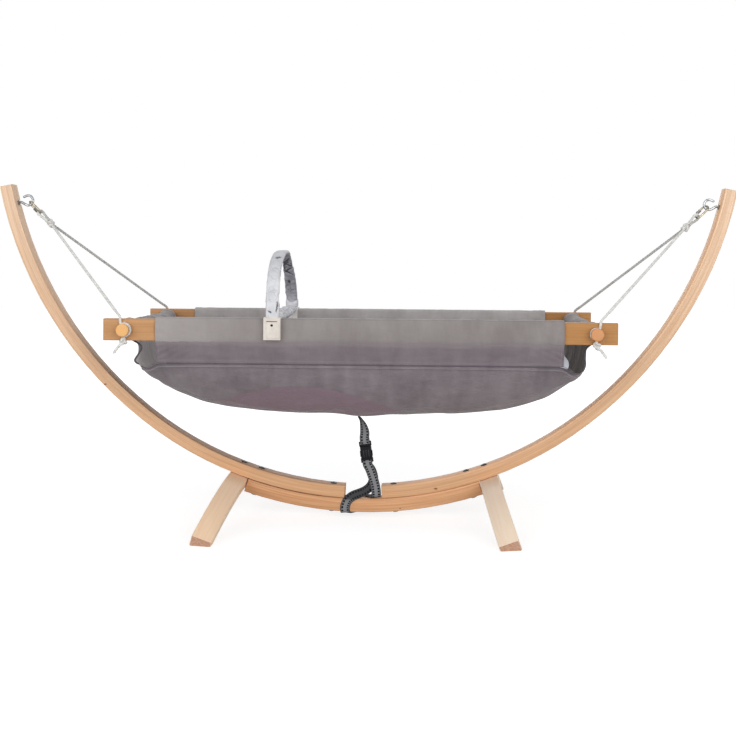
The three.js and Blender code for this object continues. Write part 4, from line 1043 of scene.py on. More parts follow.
for side, word in SIDES:
    tube_piece(f"{word}_hook_look", hook_line(side), HOOK_WIRE / 2, steel_look, "stand", 20,
               slot="bright_steel", stands_for=(f"{word}_hook",))
    along, wide, flat, bow_top, pivot, knot, loop_radius = pull(side, SEAT_GAP)
    half = (LINK_INNER + LINK_WIRE) / 2
    straight = LINK_LENGTH - LINK_WIRE - 2 * half
    middle = bow_top + along * (LINK_LENGTH - LINK_WIRE) / 2
    gap_start = straight / 2 - 1 - 4
    places = [(gap_start, half), (-straight / 4, half), (-straight / 2, half)]
    for step in range(1, 8):
        angle = math.pi * step / 7
        places.append((-straight / 2 - half * math.sin(angle), half * math.cos(angle)))
    places.append((0, -half))
    for step in range(0, 8):
        angle = math.pi * step / 7
        places.append((straight / 2 + half * math.sin(angle), -half * math.cos(angle)))
    places.append((gap_start + 4, half))
    line = spline([middle + along * a + wide * w for a, w in places], 8 * (len(places) - 1))
    tube_piece(f"{word}_link_look", line, LINK_WIRE / 2, brass_look, "links", 20, slot="bright_steel",
               stands_for=(f"{word}_quick_link",))


# Ropes: three strands laid together

STRAND_TURN = 24.0


def strands(angles, way):
    turned = 1.5 * (angles - TAU * way / STRAND_TURN)
    return 0.70 + 0.30 * np.abs(np.cos(turned)) ** 0.8 + 0.05


def rope_piece(name, line, look, body, **more):
    return tube_piece(name, spaced(line, 1.5), ROPE / 2, look, body, 24, shape=strands, **more)


def knot_line(centre, axis, across, size, depth_share, seed=0.0):
    """A small tight overhand knot: a trefoil round the rope's own direction."""
    axis = unit(axis)
    across = unit(np.asarray(across, float) - axis * (np.asarray(across, float) @ axis))
    other = np.cross(axis, across)
    points = []
    for step in range(91):
        t = TAU * step / 90 + seed
        a = math.sin(t) + 2 * math.sin(2 * t)
        b = math.cos(t) - 2 * math.cos(2 * t)
        c = -math.sin(3 * t)
        points.append(centre + across * a * size + other * b * size * 0.95 + axis * c * size * depth_share)
    return np.array(points)


def rope_path(side, face, clearance):
    """One rope half: down one side of the loop, along the leg, round the rod and to its cut end."""
    along, wide, flat, bow_top, pivot, knot, loop_radius = pull(side, clearance)

    def at(a, f):
        return pivot + along * a + flat * f

    points = [at(-loop_radius, 0)]
    for step in (1, 2, 3):
        angle = math.pi / 6 * step
        points.append(at(-loop_radius * math.cos(angle), face * loop_radius * math.sin(angle)))
    points.append(at(LOOP_LENGTH * 0.2, face * loop_radius * 0.84))
    points.append(at(LOOP_LENGTH * 0.5, face * (ROPE / 2 + SEAT_GAP)))
    points.append(at(LOOP_LENGTH * 0.9, face * ROPE / 2))
    neck = NECK_RADIUS + (SEAT_GAP if side < 0 else -2.2) + ROPE / 2
    groove = face * (RAIL_OUTER + SEAT_GAP + ROPE / 2)
    outer_groove = groove + face * ROPE * 0.8
    edge = np.array([side * (ROD_X + 11), face * (RAIL_OUTER - 0.5), RAIL_TOP + ROPE * 0.62])
    over = np.array([side * (ROD_X + 9.6), groove, RAIL_TOP - 2])
    start = knot + along * 1.5
    points += [start + (edge - start) * share for share in (0.0, 0.03, 0.5, 0.94, 1.0)]
    points.append(over)
    turns = 8
    for step in range(turns + 1):
        angle = math.radians(58 + 205 * step / turns)
        y = groove + (outer_groove - groove) * step / turns
        points.append(np.array([side * (ROD_X + neck * math.cos(angle)), y, RAIL_Z + neck * math.sin(angle)]))
    hitch = np.array([side * (ROD_X + 1), outer_groove, RAIL_Z - HITCH_DROP])
    end = np.array([side * (ROD_X + TAIL_REACH), outer_groove + face * ROPE / 2, RAIL_Z - TAIL_DROP])
    points += [hitch, hitch + (end - hitch) * 0.5 + np.array([0, 0, 1.5]), end]
    return points, knot, hitch, along, flat


for side, word, clearance in ((-1, "left", SEAT_GAP), (1, "right", OPEN_PIVOT)):
    body = f"{word}_ropes"
    for face, far_word, look in ((-1, "near", near_rope_look), (1, "far", far_rope_painted_shade)):
        points, knot, hitch, along, flat = rope_path(side, face, clearance)
        line = spaced(spline(points, 14 * (len(points) - 1)), 1.5)
        rope = tube_piece(f"{word}_{far_word}_rope", line, ROPE / 2, look, body, 24, shape=strands,
                          slot="rope", stands_for=(f"{word}_rope",))
        hitch_line = knot_line(hitch, (side * 0.25, 1, 0.2), (side * 0.5, 0, -1), 2.5, 1.5, seed=1.1)
        hitch_knot = rope_piece(f"{word}_{far_word}_hitch", hitch_line, look, body, slot="rope")
        if face < 0:
            bridle_line = knot_line(knot, flat + along * 0.25, along, 3.1, 1.7, seed=0.7)
            rope_piece(f"{word}_bridle_knot", bridle_line, near_rope_look, body, slot="rope")
        path = line * MM
        [tuple(p) for p in path[::4]] + [tuple(path[-1])]


# Cross rods with button ends

ROD_RADIUS = 15
NECK_START = 226.3
NECK_END = 241.3
ROD_END = 249.8

for side, word in SIDES:
    half = [(ROD_RADIUS, NECK_START - 0.4), (ROD_RADIUS - 0.4, NECK_START), (NECK_RADIUS + 0.6, NECK_START),
            (NECK_RADIUS, NECK_START + 0.8), (NECK_RADIUS, NECK_END - 0.8), (NECK_RADIUS + 0.6, NECK_END),
            (ROD_RADIUS - 0.9, NECK_END), (ROD_RADIUS, NECK_END + 0.9)]
    for step in range(7):
        angle = math.pi / 2 * step / 6
        half.append((ROD_RADIUS - 2.2 + 2.2 * math.cos(angle), ROD_END - 2.2 + 2.2 * math.sin(angle)))
    half += [(ROD_RADIUS * 0.6, ROD_END), (ROD_RADIUS * 0.2, ROD_END)]
    profile = [(r, -h) for r, h in half][::-1] + half
    place = Matrix.Translation((side * ROD_X, 0, RAIL_Z)) @ Matrix.Rotation(math.pi / 2, 4, "X")
    lathe(f"{word}_rod_look", profile, 64, rod_looks[side], "cradle", place, slot="rod_wood",
          stands_for=(f"{word}_cross_rod",))


# Fabric sleeves round the rails

RAIL_LINE = 215
SLEEVE_HALF = 476
SLEEVE_DEPTH = 26.6
SLEEVE_HEIGHT = 55.6


def rounded_outline(width, height, radius, count):
    """Points round a rounded rectangle, from the middle of its underside, with their way round."""
    wide = width / 2 - radius
    high = height / 2 - radius
    corners = [(wide, -high, -90), (wide, high, 0), (-wide, high, 90), (-wide, -high, 180)]
    points = [(0, -height / 2)]
    for x, z, start in corners:
        for step in range(7):
            angle = math.radians(start + 15 * step)
            points.append((x + radius * math.cos(angle), z + radius * math.sin(angle)))
    points.append((0, -height / 2))
    flat = np.array([(x, 0, z) for x, z in points], float)
    return spaced(flat, lengths_along(flat)[-1] / count)


sleeve_looks = {-1: near_sleeve_look, 1: far_sleeve_painted_light}

# Slanting pulls near the ends of the near sleeve: a start and an end along and up it, a width and a height
SLEEVE_PULLS = [(473, 17, 443, -22, 3.2, 2.0), (474, 8, 452, -24, 2.6, -1.8), (468, 24, 430, -8, 3.2, 1.4),
                (-474, 20, -446, 4, 3.2, 1.6), (-474, 10, -440, 14, 2.8, -1.4)]


def sleeve_piece(face, word):
    outline = rounded_outline(SLEEVE_DEPTH, SLEEVE_HEIGHT, 3.5, 88)
    around = lengths_along(outline)
    stations = np.unique(np.concatenate([
        np.arange(-SLEEVE_HALF, SLEEVE_HALF + 0.1, 4.0),
        np.arange(SLEEVE_HALF - 50, SLEEVE_HALF, 2.0),
        np.arange(-SLEEVE_HALF + 2, -SLEEVE_HALF + 50, 2.0),
        [-SLEEVE_HALF, -SLEEVE_HALF + 1, SLEEVE_HALF - 1, SLEEVE_HALF],
        [-SLEEVE_HALF + 15, -SLEEVE_HALF + 16.5, SLEEVE_HALF - 16.5, SLEEVE_HALF - 15],
    ]))
    rings = []
    uv = []
    for x in stations:
        from_end = SLEEVE_HALF - abs(x)
        hem = 0.5 if from_end < 15.7 else 0.0
        ring = []
        for k, (a, _, c) in enumerate(outline):
            out = unit([a / SLEEVE_DEPTH, 0, c / SLEEVE_HEIGHT * 0.7])
            pucker = 0.7 * hashed(x, k * 2.2, face * 9, 0.055) + 0.45 * hashed(x, k, face * 5, 0.16)
            pulls = 0.5 * math.exp(-from_end / 60) * math.sin(c * 0.35 + x * 0.12)
            amount = hem + 0.55 + 0.8 * (pucker + pulls)
            if face < 0 and a < 0:
                for near_x, near_c, low_x, low_c, width, rise in SLEEVE_PULLS:
                    way = np.array([low_x - near_x, low_c - near_c], float)
                    here = np.array([x - near_x, c - near_c])
                    share = float(np.clip(here @ way / (way @ way), 0, 1))
                    off = np.linalg.norm(here - way * share)
                    amount += rise * math.sin(math.pi * (0.15 + 0.7 * share)) * math.exp(-(off / width) ** 2)
            slack = 1.0 if c < -SLEEVE_HEIGHT / 2 + 6 else 0.0
            amount = max(amount, -0.5) + slack * 0.3 + 1.3 * math.cos(min(abs(c) / 28, 1) * math.pi / 2)
            y = face * RAIL_LINE + (a + out[0] * amount) * (1 if face > 0 else -1)
            ring.append((x, y, RAIL_Z + c + out[2] * amount))
            uv.append((x * MM, around[k] * MM))
        rings.append(ring)
    piece = skin(f"{word}_sleeve_cloth", rings, sleeve_looks[face], "cradle", 1.4, -1, face > 0,
                 slot="sleeve_cloth", stands_for=(f"{word}_rail_sleeve",), uv=uv)
    for end, end_word in SIDES:
        line = []
        x = end * (SLEEVE_HALF - 12.5)
        for a, _, c in outline[6:-6]:
            out = unit([a / SLEEVE_DEPTH, 0, c / SLEEVE_HEIGHT * 0.7])
            line.append((x, face * (RAIL_LINE + a + out[0] * 1.9), RAIL_Z + c + out[2] * 1.9))
        stitches(f"{word}_{end_word}_hem_stitches", line,
                 lambda p: (0, p[1] - face * RAIL_LINE, p[2] - RAIL_Z), 3.4, 2.6, thread_look, "cradle")


for face, word in FACES:
    sleeve_piece(face, word)


# Side panels from the sleeve down to the basin's seam

SEAM_Y = 216
PANEL_TOP = 455.5
PANEL_BOTTOM = 403.9


def panel_point(x, share, face, proud=0.0):
    """A point of a side panel, at a share of its height from the top, and how proud of it to stand."""
    from_end = SLEEVE_HALF - abs(x)
    z = PANEL_TOP + (PANEL_BOTTOM - PANEL_TOP) * share
    free = math.sin(math.pi * share)
    drape = SLEEVE_DEPTH / 2 + 0.5 - 13 * min(share / 0.85, 1.0) ** 1.4
    wave = 1.6 * hashed(x, z * 3, face * 4, 0.02) + 0.7 * hashed(x * 1.4, z, face * 8, 0.06)
    crease = 1.3 * math.exp(-((share - 0.13 - 0.03 * hashed(x, 0, face, 0.02)) / 0.05) ** 2)
    pulls = 1.2 * math.exp(-from_end / 45) * math.sin(z * 0.4 + abs(x) * 0.2)
    y = SEAM_Y + max(drape, 0.4) + free * (wave + pulls) - crease * free
    return x, face * (y + proud), z


# The near panel's turned-back end on the right: a height, and how far it reaches past the panel
FLAP_STOPS = [(397, 9), (401, 12), (407, 13.5), (414, 12.5), (421, 8.5), (428, 3), (431, 0.5)]
FLAP_ROOT = 9


def end_flap():
    """The near panel's turned-back end, seen through the open corner on the right; its pale colour is a
    painted highlight.
    """
    points_per_row = 9
    rings = []
    uv = []
    for z in np.linspace(FLAP_STOPS[0][0], FLAP_STOPS[-1][0], 16):
        reach = float(np.interp(z, *zip(*FLAP_STOPS)))
        ring = []
        for k in range(points_per_row):
            share = k / (points_per_row - 1)
            x = SLEEVE_HALF - FLAP_ROOT + (FLAP_ROOT + reach) * share
            y = -(SEAM_Y - 3.5) + 5 * share ** 2 + 1.2 * math.sin(z * 0.35 + share * 3) * share
            ring.append((x, y, z))
            uv.append((x * MM, z * MM))
        rings.append(ring)
    return skin("near_panel_end_flap", rings, flap_painted_highlight, "cradle", 1.0, slot="basin_cloth", uv=uv)


def side_panel(face, word):
    rows = 22
    columns = 240
    rings = []
    uv = []
    for i in range(columns + 1):
        x = -SLEEVE_HALF + 2 * SLEEVE_HALF * i / columns
        ring = [panel_point(x, j / rows, face) for j in range(rows + 1)]
        uv += [(x * MM, z * MM) for _, _, z in ring]
        rings.append(ring)
    piece = skin(f"{word}_panel_cloth", rings, panel_look, "cradle", 1.4, 0, face < 0, slot="basin_cloth",
                 stands_for=(f"{word}_side_panel",), uv=uv)
    on_it = [end_flap()] if face < 0 else []
    for end, end_word in SIDES:
        x = end * (SLEEVE_HALF - 6.5)
        line = [panel_point(x, share, face, 0.9) for share in np.linspace(0.06, 0.94, 40)]
        # Hem stitches in a pale thread: painted highlight along the crease
        stitches(f"{word}_{end_word}_panel_hem", line, lambda p: (0, p[1], 0), 3.4, 2.6, hem_thread_painted_highlight,
                 "cradle", 0.5)


for face, word in FACES:
    side_panel(face, word)


# The basin cloth, on the solids' own middle line and edge line, with folds

BASIN_REACH = 546
BASIN_BOTTOM = 260
PROFILE_TOP = 479
PROFILE_EXPONENT = 3.2
CROSS_EXPONENT = 2.3
TUNNEL_HEIGHT = 41
TUNNEL_CENTRE = RAIL_Z + ROD_RADIUS + 2 * SEAT_GAP + 2.5 - TUNNEL_HEIGHT / 2
CLOTH_TOP = TUNNEL_CENTRE - TUNNEL_HEIGHT / 2 - 2 * SEAT_GAP
END_SPLIT = 0.86
EDGE_SHARES = [(0, 1, 1), (0.3, 1, 1), (0.6, 1, 1), (0.8, 1, 1.02), (0.872, 0.985, 1.06), (0.915, 0.95, 1.3),
               (0.95, 0.92, 1.24), (0.968, 0.9, 0.95), (0.968, 0.89, 0.6), (0.972, 0.89, 0.25), (1, 0.89, 0)]

middle_stops = []
for step in range(25):
    angle = math.pi / 2 * (1 - step / 24)
    x = BASIN_REACH * max(math.cos(angle), 0) ** (2 / PROFILE_EXPONENT)
    z = PROFILE_TOP - (PROFILE_TOP - BASIN_BOTTOM) * math.sin(angle) ** (2 / PROFILE_EXPONENT)
    if z < CLOTH_TOP:
        middle_stops.append((x, 0, z))
middle_stops.append((BASIN_REACH, 0, CLOTH_TOP))
seam_drop = CLOTH_TOP - (PANEL_BOTTOM - SEAT_GAP - 2.5)
edge_stops = [(a * BASIN_REACH, b * SEAM_Y, CLOTH_TOP - c * seam_drop) for a, b, c in EDGE_SHARES]
middle_curve = spaced(spline(middle_stops, 600), 1.0)
edge_curve = spaced(spline(edge_stops, 600), 1.0)


def on_curve(curve, share):
    place = share * (len(curve) - 1)
    return np.array([np.interp(place, np.arange(len(curve)), curve[:, k]) for k in range(3)])


# Soft folds of the near side, then the far side: a start and an end on the cloth, a width and a height
FOLDS = [
    (-0.99, -0.80, -0.70, -0.62, 0.050, 4.5),
    (-0.97, -0.93, -0.62, -0.86, 0.040, -2.6),
    (-0.80, -0.40, -0.66, -0.93, 0.035, 2.6),
    (-0.72, -0.35, -0.60, -0.90, 0.030, -2.4),
    (-0.60, -0.55, -0.30, -0.46, 0.060, 3.2),
    (-0.30, -0.44, 0.00, -0.62, 0.055, 3.0),
    (0.99, -0.80, 0.72, -0.64, 0.045, 4.0),
    (0.96, -0.92, 0.55, -0.84, 0.045, -2.4),
    (0.50, -0.58, 0.85, -0.70, 0.050, 2.6),
    (0.20, -0.86, 0.45, -0.72, 0.050, -1.8),
    (-0.99, 0.80, -0.68, 0.60, 0.050, 4.2),
    (0.99, 0.80, 0.70, 0.62, 0.050, 4.0),
    (-0.70, 0.45, -0.35, 0.70, 0.050, 2.6),
    (0.25, 0.55, 0.65, 0.74, 0.050, -2.4),
    (-0.93, -0.95, -0.87, -0.70, 0.020, 2.2),
    (-0.72, -0.97, -0.705, -0.72, 0.022, 3.0),
    (-0.665, -0.96, -0.655, -0.70, 0.020, -2.8),
    (-0.61, -0.97, -0.60, -0.66, 0.024, 2.8),
    (-0.56, -0.95, -0.555, -0.74, 0.020, -2.2),
    (-0.40, -0.97, -0.395, -0.76, 0.022, 1.8),
    (-0.01, -0.98, -0.005, -0.60, 0.014, 2.0),
    (0.262, -0.96, 0.27, -0.62, 0.020, -2.2),
    (0.49, -0.96, 0.50, -0.74, 0.022, 2.2),
    (0.70, -0.96, 0.715, -0.76, 0.022, -2.0),
]


def fold_height(along, across):
    total = 0.0
    for a0, c0, a1, c1, width, height in FOLDS:
        way = np.array([(a1 - a0) * 2.4, c1 - c0])
        here = np.array([(along - a0) * 2.4, across - c0])
        share = float(np.clip(here @ way / (way @ way), 0, 1))
        off = np.linalg.norm(here - way * share)
        fade = math.sin(math.pi * min(max(share, 0.0), 1.0)) ** 0.5 if 0 < share < 1 else 0.0
        total += height * fade * math.exp(-(off / (width * 1.7)) ** 2)
    return total


def cloth_point(along, across, folded=True):
    share = min(abs(along), 1.0)
    inner = on_curve(middle_curve, share)
    outer = on_curve(edge_curve, share)
    lift = abs(across) ** CROSS_EXPONENT
    point = inner + (outer - inner) * lift
    point[1] = across * outer[1]
    tug = 7 * math.exp(-((along * BASIN_REACH / 38) ** 2)) * (1 - across ** 2)
    wave = 3 * math.sin(along * math.pi * 11) * across ** 2 * (1 - across ** 2) * 4
    point[2] += -tug + wave * (1 - share ** 4) * 0.6
    if along < -0.8:
        near_edge = abs(across) ** 10
        notch = 11 * math.exp(-((point[2] - 437) / 15) ** 2) - 5 * math.exp(-((point[2] - 405) / 9) ** 2)
        point[0] -= near_edge * notch * min((-along - 0.8) / 0.12, 1.0)
        point[2] += near_edge * 8 * math.exp(-((point[2] - 387) / 10) ** 2) * min((-along - 0.8) / 0.07, 1.0)
    point[0] *= 1 if along >= 0 else -1
    if folded:
        free = 1 - abs(across) ** 6
        hold = 1 - share ** 10
        low = (2.6 * hashed(along * BASIN_REACH, across * SEAM_Y, 3.0, 0.011)
               + 1.5 * hashed(along * BASIN_REACH, across * SEAM_Y, 6.0, 0.028))
        upright = hashed(along * BASIN_REACH + across * 90, across * 30, 8.0, 0.045)
        low += 2.6 * max(upright - 0.05, 0) * math.exp(-((abs(across) - 0.86) / 0.16) ** 2)
        low += 1.8 * hashed(along * BASIN_REACH * 0.5, across * 300, 12.0, 0.03) * (share ** 2)
        amount = (fold_height(along, across) + low) * free * hold
        ahead_of = (cloth_point(min(along + 0.002, 1), across, False)
                    - cloth_point(max(along - 0.002, -1), across, False))
        beside = (cloth_point(along, min(across + 0.004, 1), False)
                  - cloth_point(along, max(across - 0.004, -1), False))
        normal = unit(np.cross(beside, ahead_of))
        point = point + normal * amount
    return point


def cloth_piece(name, start, end, columns, rows, look, stands_for):
    rings = []
    uv = []
    for i in range(columns + 1):
        along = start + (end - start) * i / columns
        ring = [cloth_point(along, 2 * j / rows - 1) for j in range(rows + 1)]
        rings.append(ring)
        way = lengths_along(np.array(ring))
        uv += [(along * 0.68, w * MM) for w in way]
    return skin(name, rings, look, "cradle", 1.5, slot="basin_cloth", stands_for=stands_for, uv=uv)


bottom = cloth_piece("basin_cloth", -END_SPLIT, END_SPLIT, 260, 96, basin_look, ("bottom_panel",))
left_end = cloth_piece("left_end_cloth", -1, -END_SPLIT - 0.0003, 44, 96, end_looks[-1], ("left_end_panel",))
right_end = cloth_piece("right_end_cloth", END_SPLIT + 0.0003, 1, 44, 96, end_looks[1], ("right_end_panel",))


# Binding along the open corners, and the welted seam below each side panel

for face, word in FACES:
    for side, end_word in SIDES:
        shares = np.linspace(0.874, 0.998, 60)
        line = [cloth_point(side * share, face, False) for share in shares]
        tube_piece(f"{word}_{end_word}_binding", spaced(line, 2.0), 2.2, binding_look, "cradle", 10,
                   slot="basin_cloth")
    line = np.array([cloth_point(a, face, False) for a in np.linspace(-0.862, 0.862, 200)])
    line[:, 2] += 1.2
    line[:, 1] += face * 0.8
    # Welt in a darker colour: painted shade along the seam
    tube_piece(f"{word}_seam_welt", spaced(line, 3.0), 1.7, seam_welt_painted_shade, "cradle", 10, slot="basin_cloth")
    below = line.copy()
    below[:, 2] -= 6.5
    below[:, 1] -= face * 1.2
    tube_piece(f"{word}_seam_ridge", spaced(below, 3.0), 1.5, basin_look, "cradle", 10, slot="basin_cloth")
    above = line.copy()
    above[:, 2] += 5.0
    above[:, 1] = face * (SEAM_Y + 1.3)
    stitches(f"{word}_seam_stitches", above[4:-4], lambda p: (0, p[1], 0), 3.6, 2.7, thread_look, "cradle")


# Rod tunnels: gathered fabric tubes round the rods

TUNNEL_HALF = 202


def tunnel_piece(side, word):
    count = 48
    length = 2 * TUNNEL_HALF
    rings = []
    uv = []
    for i in range(101):
        y = -length / 2 + length * i / 100
        ring = []
        for k in range(count + 1):
            angle = TAU * k / count - math.pi / 2
            top = max(math.sin(angle), 0.0)
            gather = 2.6 * hashed(y, angle * 14, side * 5, 0.05) + 2.2 * hashed(y, angle * 9, side * 3, 0.11)
            inner = max(-side * math.cos(angle), 0.0)
            near_end = math.exp(-((abs(y) - 178) / 26) ** 2)
            bulge = (2.0 * top * (0.5 + 0.5 * math.sin(y * 0.045 + side))
                     + (6.5 * top + 9 * inner * (1 - top)) * near_end)
            a = 21.8 + gather
            b = 19.6 + gather + bulge
            point_x = side * ROD_X + a * math.cos(angle) - side * inner * top * 12 * near_end
            ring.append((point_x, y, TUNNEL_CENTRE + b * math.sin(angle)))
            uv.append((y * MM, angle * 21 * MM))
        rings.append(ring)
    piece = skin(f"{word}_tunnel_cloth", rings, sleeve_look, "cradle", 1.5, 0, True, slot="sleeve_cloth",
                 stands_for=(f"{word}_rod_tunnel",), uv=uv)
    for face, far_word in FACES:
        line = [(side * ROD_X + 20.2 * math.cos(t), face * 192, TUNNEL_CENTRE + 20.6 * math.sin(t))
                for t in np.linspace(0, TAU, 61)]
        stitches(f"{word}_{far_word}_tunnel_stitches", line,
                 lambda p: (p[0] - side * ROD_X, 0, p[2] - TUNNEL_CENTRE), 3.6, 2.6, thread_look,
                 "cradle", 0.6)


for side, word in SIDES:
    tunnel_piece(side, word)


# Toy bow: gathered fabric over a springy strip

BOW_X = -208
BOW_TOP = 664
BOW_SHARES = [
    (-1, 0), (-1, 0.04), (-0.997, 0.15), (-0.983, 0.3), (-0.95, 0.45), (-0.888, 0.6),
    (-0.808, 0.72), (-0.705, 0.82), (-0.577, 0.9), (-0.413, 0.96), (-0.245, 0.99), (0, 1),
    (0.14, 0.985), (0.27, 0.94), (0.4, 0.86), (0.53, 0.744), (0.645, 0.628), (0.74, 0.52),
    (0.838, 0.395), (0.93, 0.25), (0.984, 0.13), (1, 0.04), (1, 0),
]
BOW_SKEW = 7
CLAMP_INNER = SLEEVE_DEPTH / 2 + SEAT_GAP
POCKET = 10 + 2 * SEAT_GAP
BOW_HALF = RAIL_LINE + CLAMP_INNER + 3 + POCKET / 2
BOW_FOOT = RAIL_TOP + 7 - 36
BOW_START = BOW_FOOT + 3 + SEAT_GAP

BOW_BASE = RAIL_TOP + 7
bow_stops = [(0, -BOW_HALF, BOW_START)]
bow_stops += [(0, y * BOW_HALF, BOW_BASE + z * (BOW_TOP - BOW_BASE)) for y, z in BOW_SHARES]
bow_stops.append((0, BOW_HALF, BOW_START))
bow_line = spaced(spline(bow_stops, 900), 1.6)
bow_run = lengths_along(bow_line)
bow_ahead = np.gradient(bow_line, axis=0)
bow_ahead /= np.linalg.norm(bow_ahead, axis=1)[:, None]
rings = []
uv = []
bow_count = 40
for k, spot in enumerate(bow_line):
    out = np.array([0, -bow_ahead[k][2], bow_ahead[k][1]])
    way = bow_run[k]
    left = min(way, bow_run[-1] - way)
    tuck = min(left / 30, 1.0)
    ring = []
    for j in range(bow_count + 1):
        angle = TAU * j / bow_count + math.pi
        wide_way = 22 * math.cos(angle)
        deep_way = 16 * math.sin(angle)
        c = squarish(math.cos(angle), 0.55)
        s = squarish(math.sin(angle), 0.7)
        gather = (1.3 * hashed(way, wide_way, deep_way, 0.10)
                  + 1.6 * hashed(way, wide_way, deep_way + 60, 0.045))
        inside = 1.0 if s < 0 else 0.5
        foot = 1 + 0.9 * math.exp(-((left - 62) / 18) ** 2)
        pinch = math.exp(-((way / bow_run[-1] - 0.64) / 0.1) ** 2)
        swell = gather * inside * tuck * (foot + pinch)
        width = 14.2 + 0.5 * tuck - 4.2 * pinch + 0.7 * swell
        depth = 3.9 + 0.6 * tuck + 0.8 * pinch + 1.1 * swell
        turned = BOW_X - BOW_SKEW * spot[1] / BOW_HALF
        ring.append(np.array([turned + width * c, spot[1], spot[2]]) + out * depth * s)
        uv.append((way * MM, j * 2.2 * MM))
    rings.append(ring)
bow = skin("bow_fabric", rings, bow_look, "bow", 1.2, slot="bow_cloth", stands_for=("bow_cover",), uv=uv)
# The inner side of the bow's arch gets the darker copy of its cloth: painted shade
bow.data.materials.append(bow_inner_painted_shade)
for index, polygon in enumerate(bow.data.polygons):
    if bow_count * 0.02 < index % bow_count < bow_count * 0.48:
        polygon.material_index = 1
cuff_rings = []
for height, size in ((14, 0.9), (14.6, 1.0), (24, 1.03), (32, 1.0), (32.6, 0.92)):
    outline = rounded_outline(31 * size, 13 * size, 3.0, 40)[:-1]
    centre_y = BOW_HALF - 0.8 * height / 32
    cuff_rings.append([(BOW_X - BOW_SKEW + a + 0.5 * hashed(a, c, height, 0.3), centre_y + c,
                        RAIL_TOP - 5 + height) for a, _, c in outline])
points, faces = ring_mesh(cuff_rings)
cuff = build("far_bow_cuff", points, faces, cross_look, "bow", slot="bow_cloth")
thicken(cuff, 0.9, 1)


# The crinkled strap between the clamps

strap_end = RAIL_LINE - CLAMP_INNER - 3 - 4 * SEAT_GAP
rings = []
uv = []
for i in range(161):
    share = 2 * i / 160 - 1
    y = share * strap_end
    z = RAIL_TOP + 3 - 4 * (1 - share ** 2)
    ring = []
    for j in range(33):
        angle = TAU * j / 32 - math.pi / 2
        c = squarish(math.cos(angle), 0.5)
        s = squarish(math.sin(angle), 0.8)
        crinkle = 3.2 * hashed(y, j * 0.9, 11.0, 0.07) + 2.6 * hashed(y, j * 0.7, 17.0, 0.17)
        held = min((strap_end - abs(y)) / 25, 1.0)
        width = 14 + 5.0 * held + 0.6 * crinkle
        depth = 2.8 + 4.2 * held + 1.5 * crinkle * held * (1 if s > 0 else 0.5)
        ring.append((BOW_X - BOW_SKEW * share + width * c, y, z + 2.5 * held + depth * s))
        uv.append((y * MM, j * 2.0 * MM))
    rings.append(ring)
cross = skin("bow_cross_fabric", rings, cross_look, "cradle", 1.0, 0, True, slot="bow_cloth",
             stands_for=("bow_cross_strap",), uv=uv)


# Clamp faces and screws

def raised_plate(name, outline, steps, at, face, look):
    """A flat piece on a clamp's outer side: its outline, stepped out by pairs of a size and a height."""
    x, y, z = at
    rings = [[(x + a * size, face * (y + out), z + c * size) for a, _, c in outline] for size, out in steps]
    points, faces = ring_mesh(rings)
    faces.append(tuple(range(len(points) - len(outline), len(points))))
    if face > 0:
        faces = [face_points[::-1] for face_points in faces]
    build(name, points, faces, look, "cradle", slot="clamp_plastic", flat=True)


def clamp_detail(face, word):
    outer = BOW_HALF + POCKET / 2 + 3
    middle = BOW_X - face * BOW_SKEW
    wide = 15
    plate = middle + 2.5
    top = BOW_FOOT + 25.5
    bottom = BOW_FOOT - 12.5
    raised_plate(f"{word}_clamp_face", rounded_outline(2 * wide, top - bottom, 1.6, 60)[:-1],
                 [(1.0, 0.0), (1.0, 1.1), (0.965, 1.5), (0.93, 1.5)],
                 (plate, outer, (top + bottom) / 2), face, clamp_look)
    # A dark strip along the clamp's top gap: painted shade
    raised_plate(f"{word}_clamp_gap", rounded_outline(2 * wide - 4, 1.6, 0.7, 40)[:-1],
                 [(1.0, 0.0), (1.0, 0.35)], (middle, outer, top + 1.4), face, clamp_gap_painted_shade)
    place = towards((0, face, 0), (middle, face * outer, BOW_FOOT + 18))
    profile = [(3.0, 0.6), (3.0, 1.6), (2.5, 2.1), (1.2, 2.25), (1.0, 1.75), (0.3, 1.65)]
    lathe(f"{word}_screw_look", profile, 24, buckle_look, "cradle", place, slot="dark_steel",
          stands_for=(f"{word}_clamp_screw",))


for face, word in FACES:
    clamp_detail(face, word)


# Safety strap: webbing on the solids' own routes

BUCKLE_AT = np.array([7, -5, 155], float)
BUCKLE_LEAN = math.radians(-7.5)
BUCKLE_HALF = 20
PLUG_FRAME = 13
WEB_WIDTH = 24
WEB_THICK = 1.6
PLUG_SLOT = BUCKLE_HALF + SEAT_GAP + PLUG_FRAME / 2 + 1.1
SOCKET_SLOT = -(BUCKLE_HALF - 2.2 - 2.4)
BELT_REACH = 33
STRAP_START = -15
FALL_SHARES = [(1, 0, 1, (0, 1, 0)), (0.5, 0, 0.849, (0.25, 1, 0)), (0.05, 0.4, 0.611, (0.75, 0.7, 0)),
               (-0.15, 1.2, 0.388, (1, 0.25, 0))]
PLUG_SHARES = [(-1, 1.08), (-1, 0.385), (-0.8, 0.077), (0, 0), (0.8, 0.077), (1, 0.385), (1, 1.31)]
FRONT_SHARES = [(-0.11, 0), (-0.6, 0), (-1, -0.075), (-1, -0.225)]
BACK_SHARES = [(1, -0.35), (1, -0.075), (0.6, 0), (0.11, 0)]
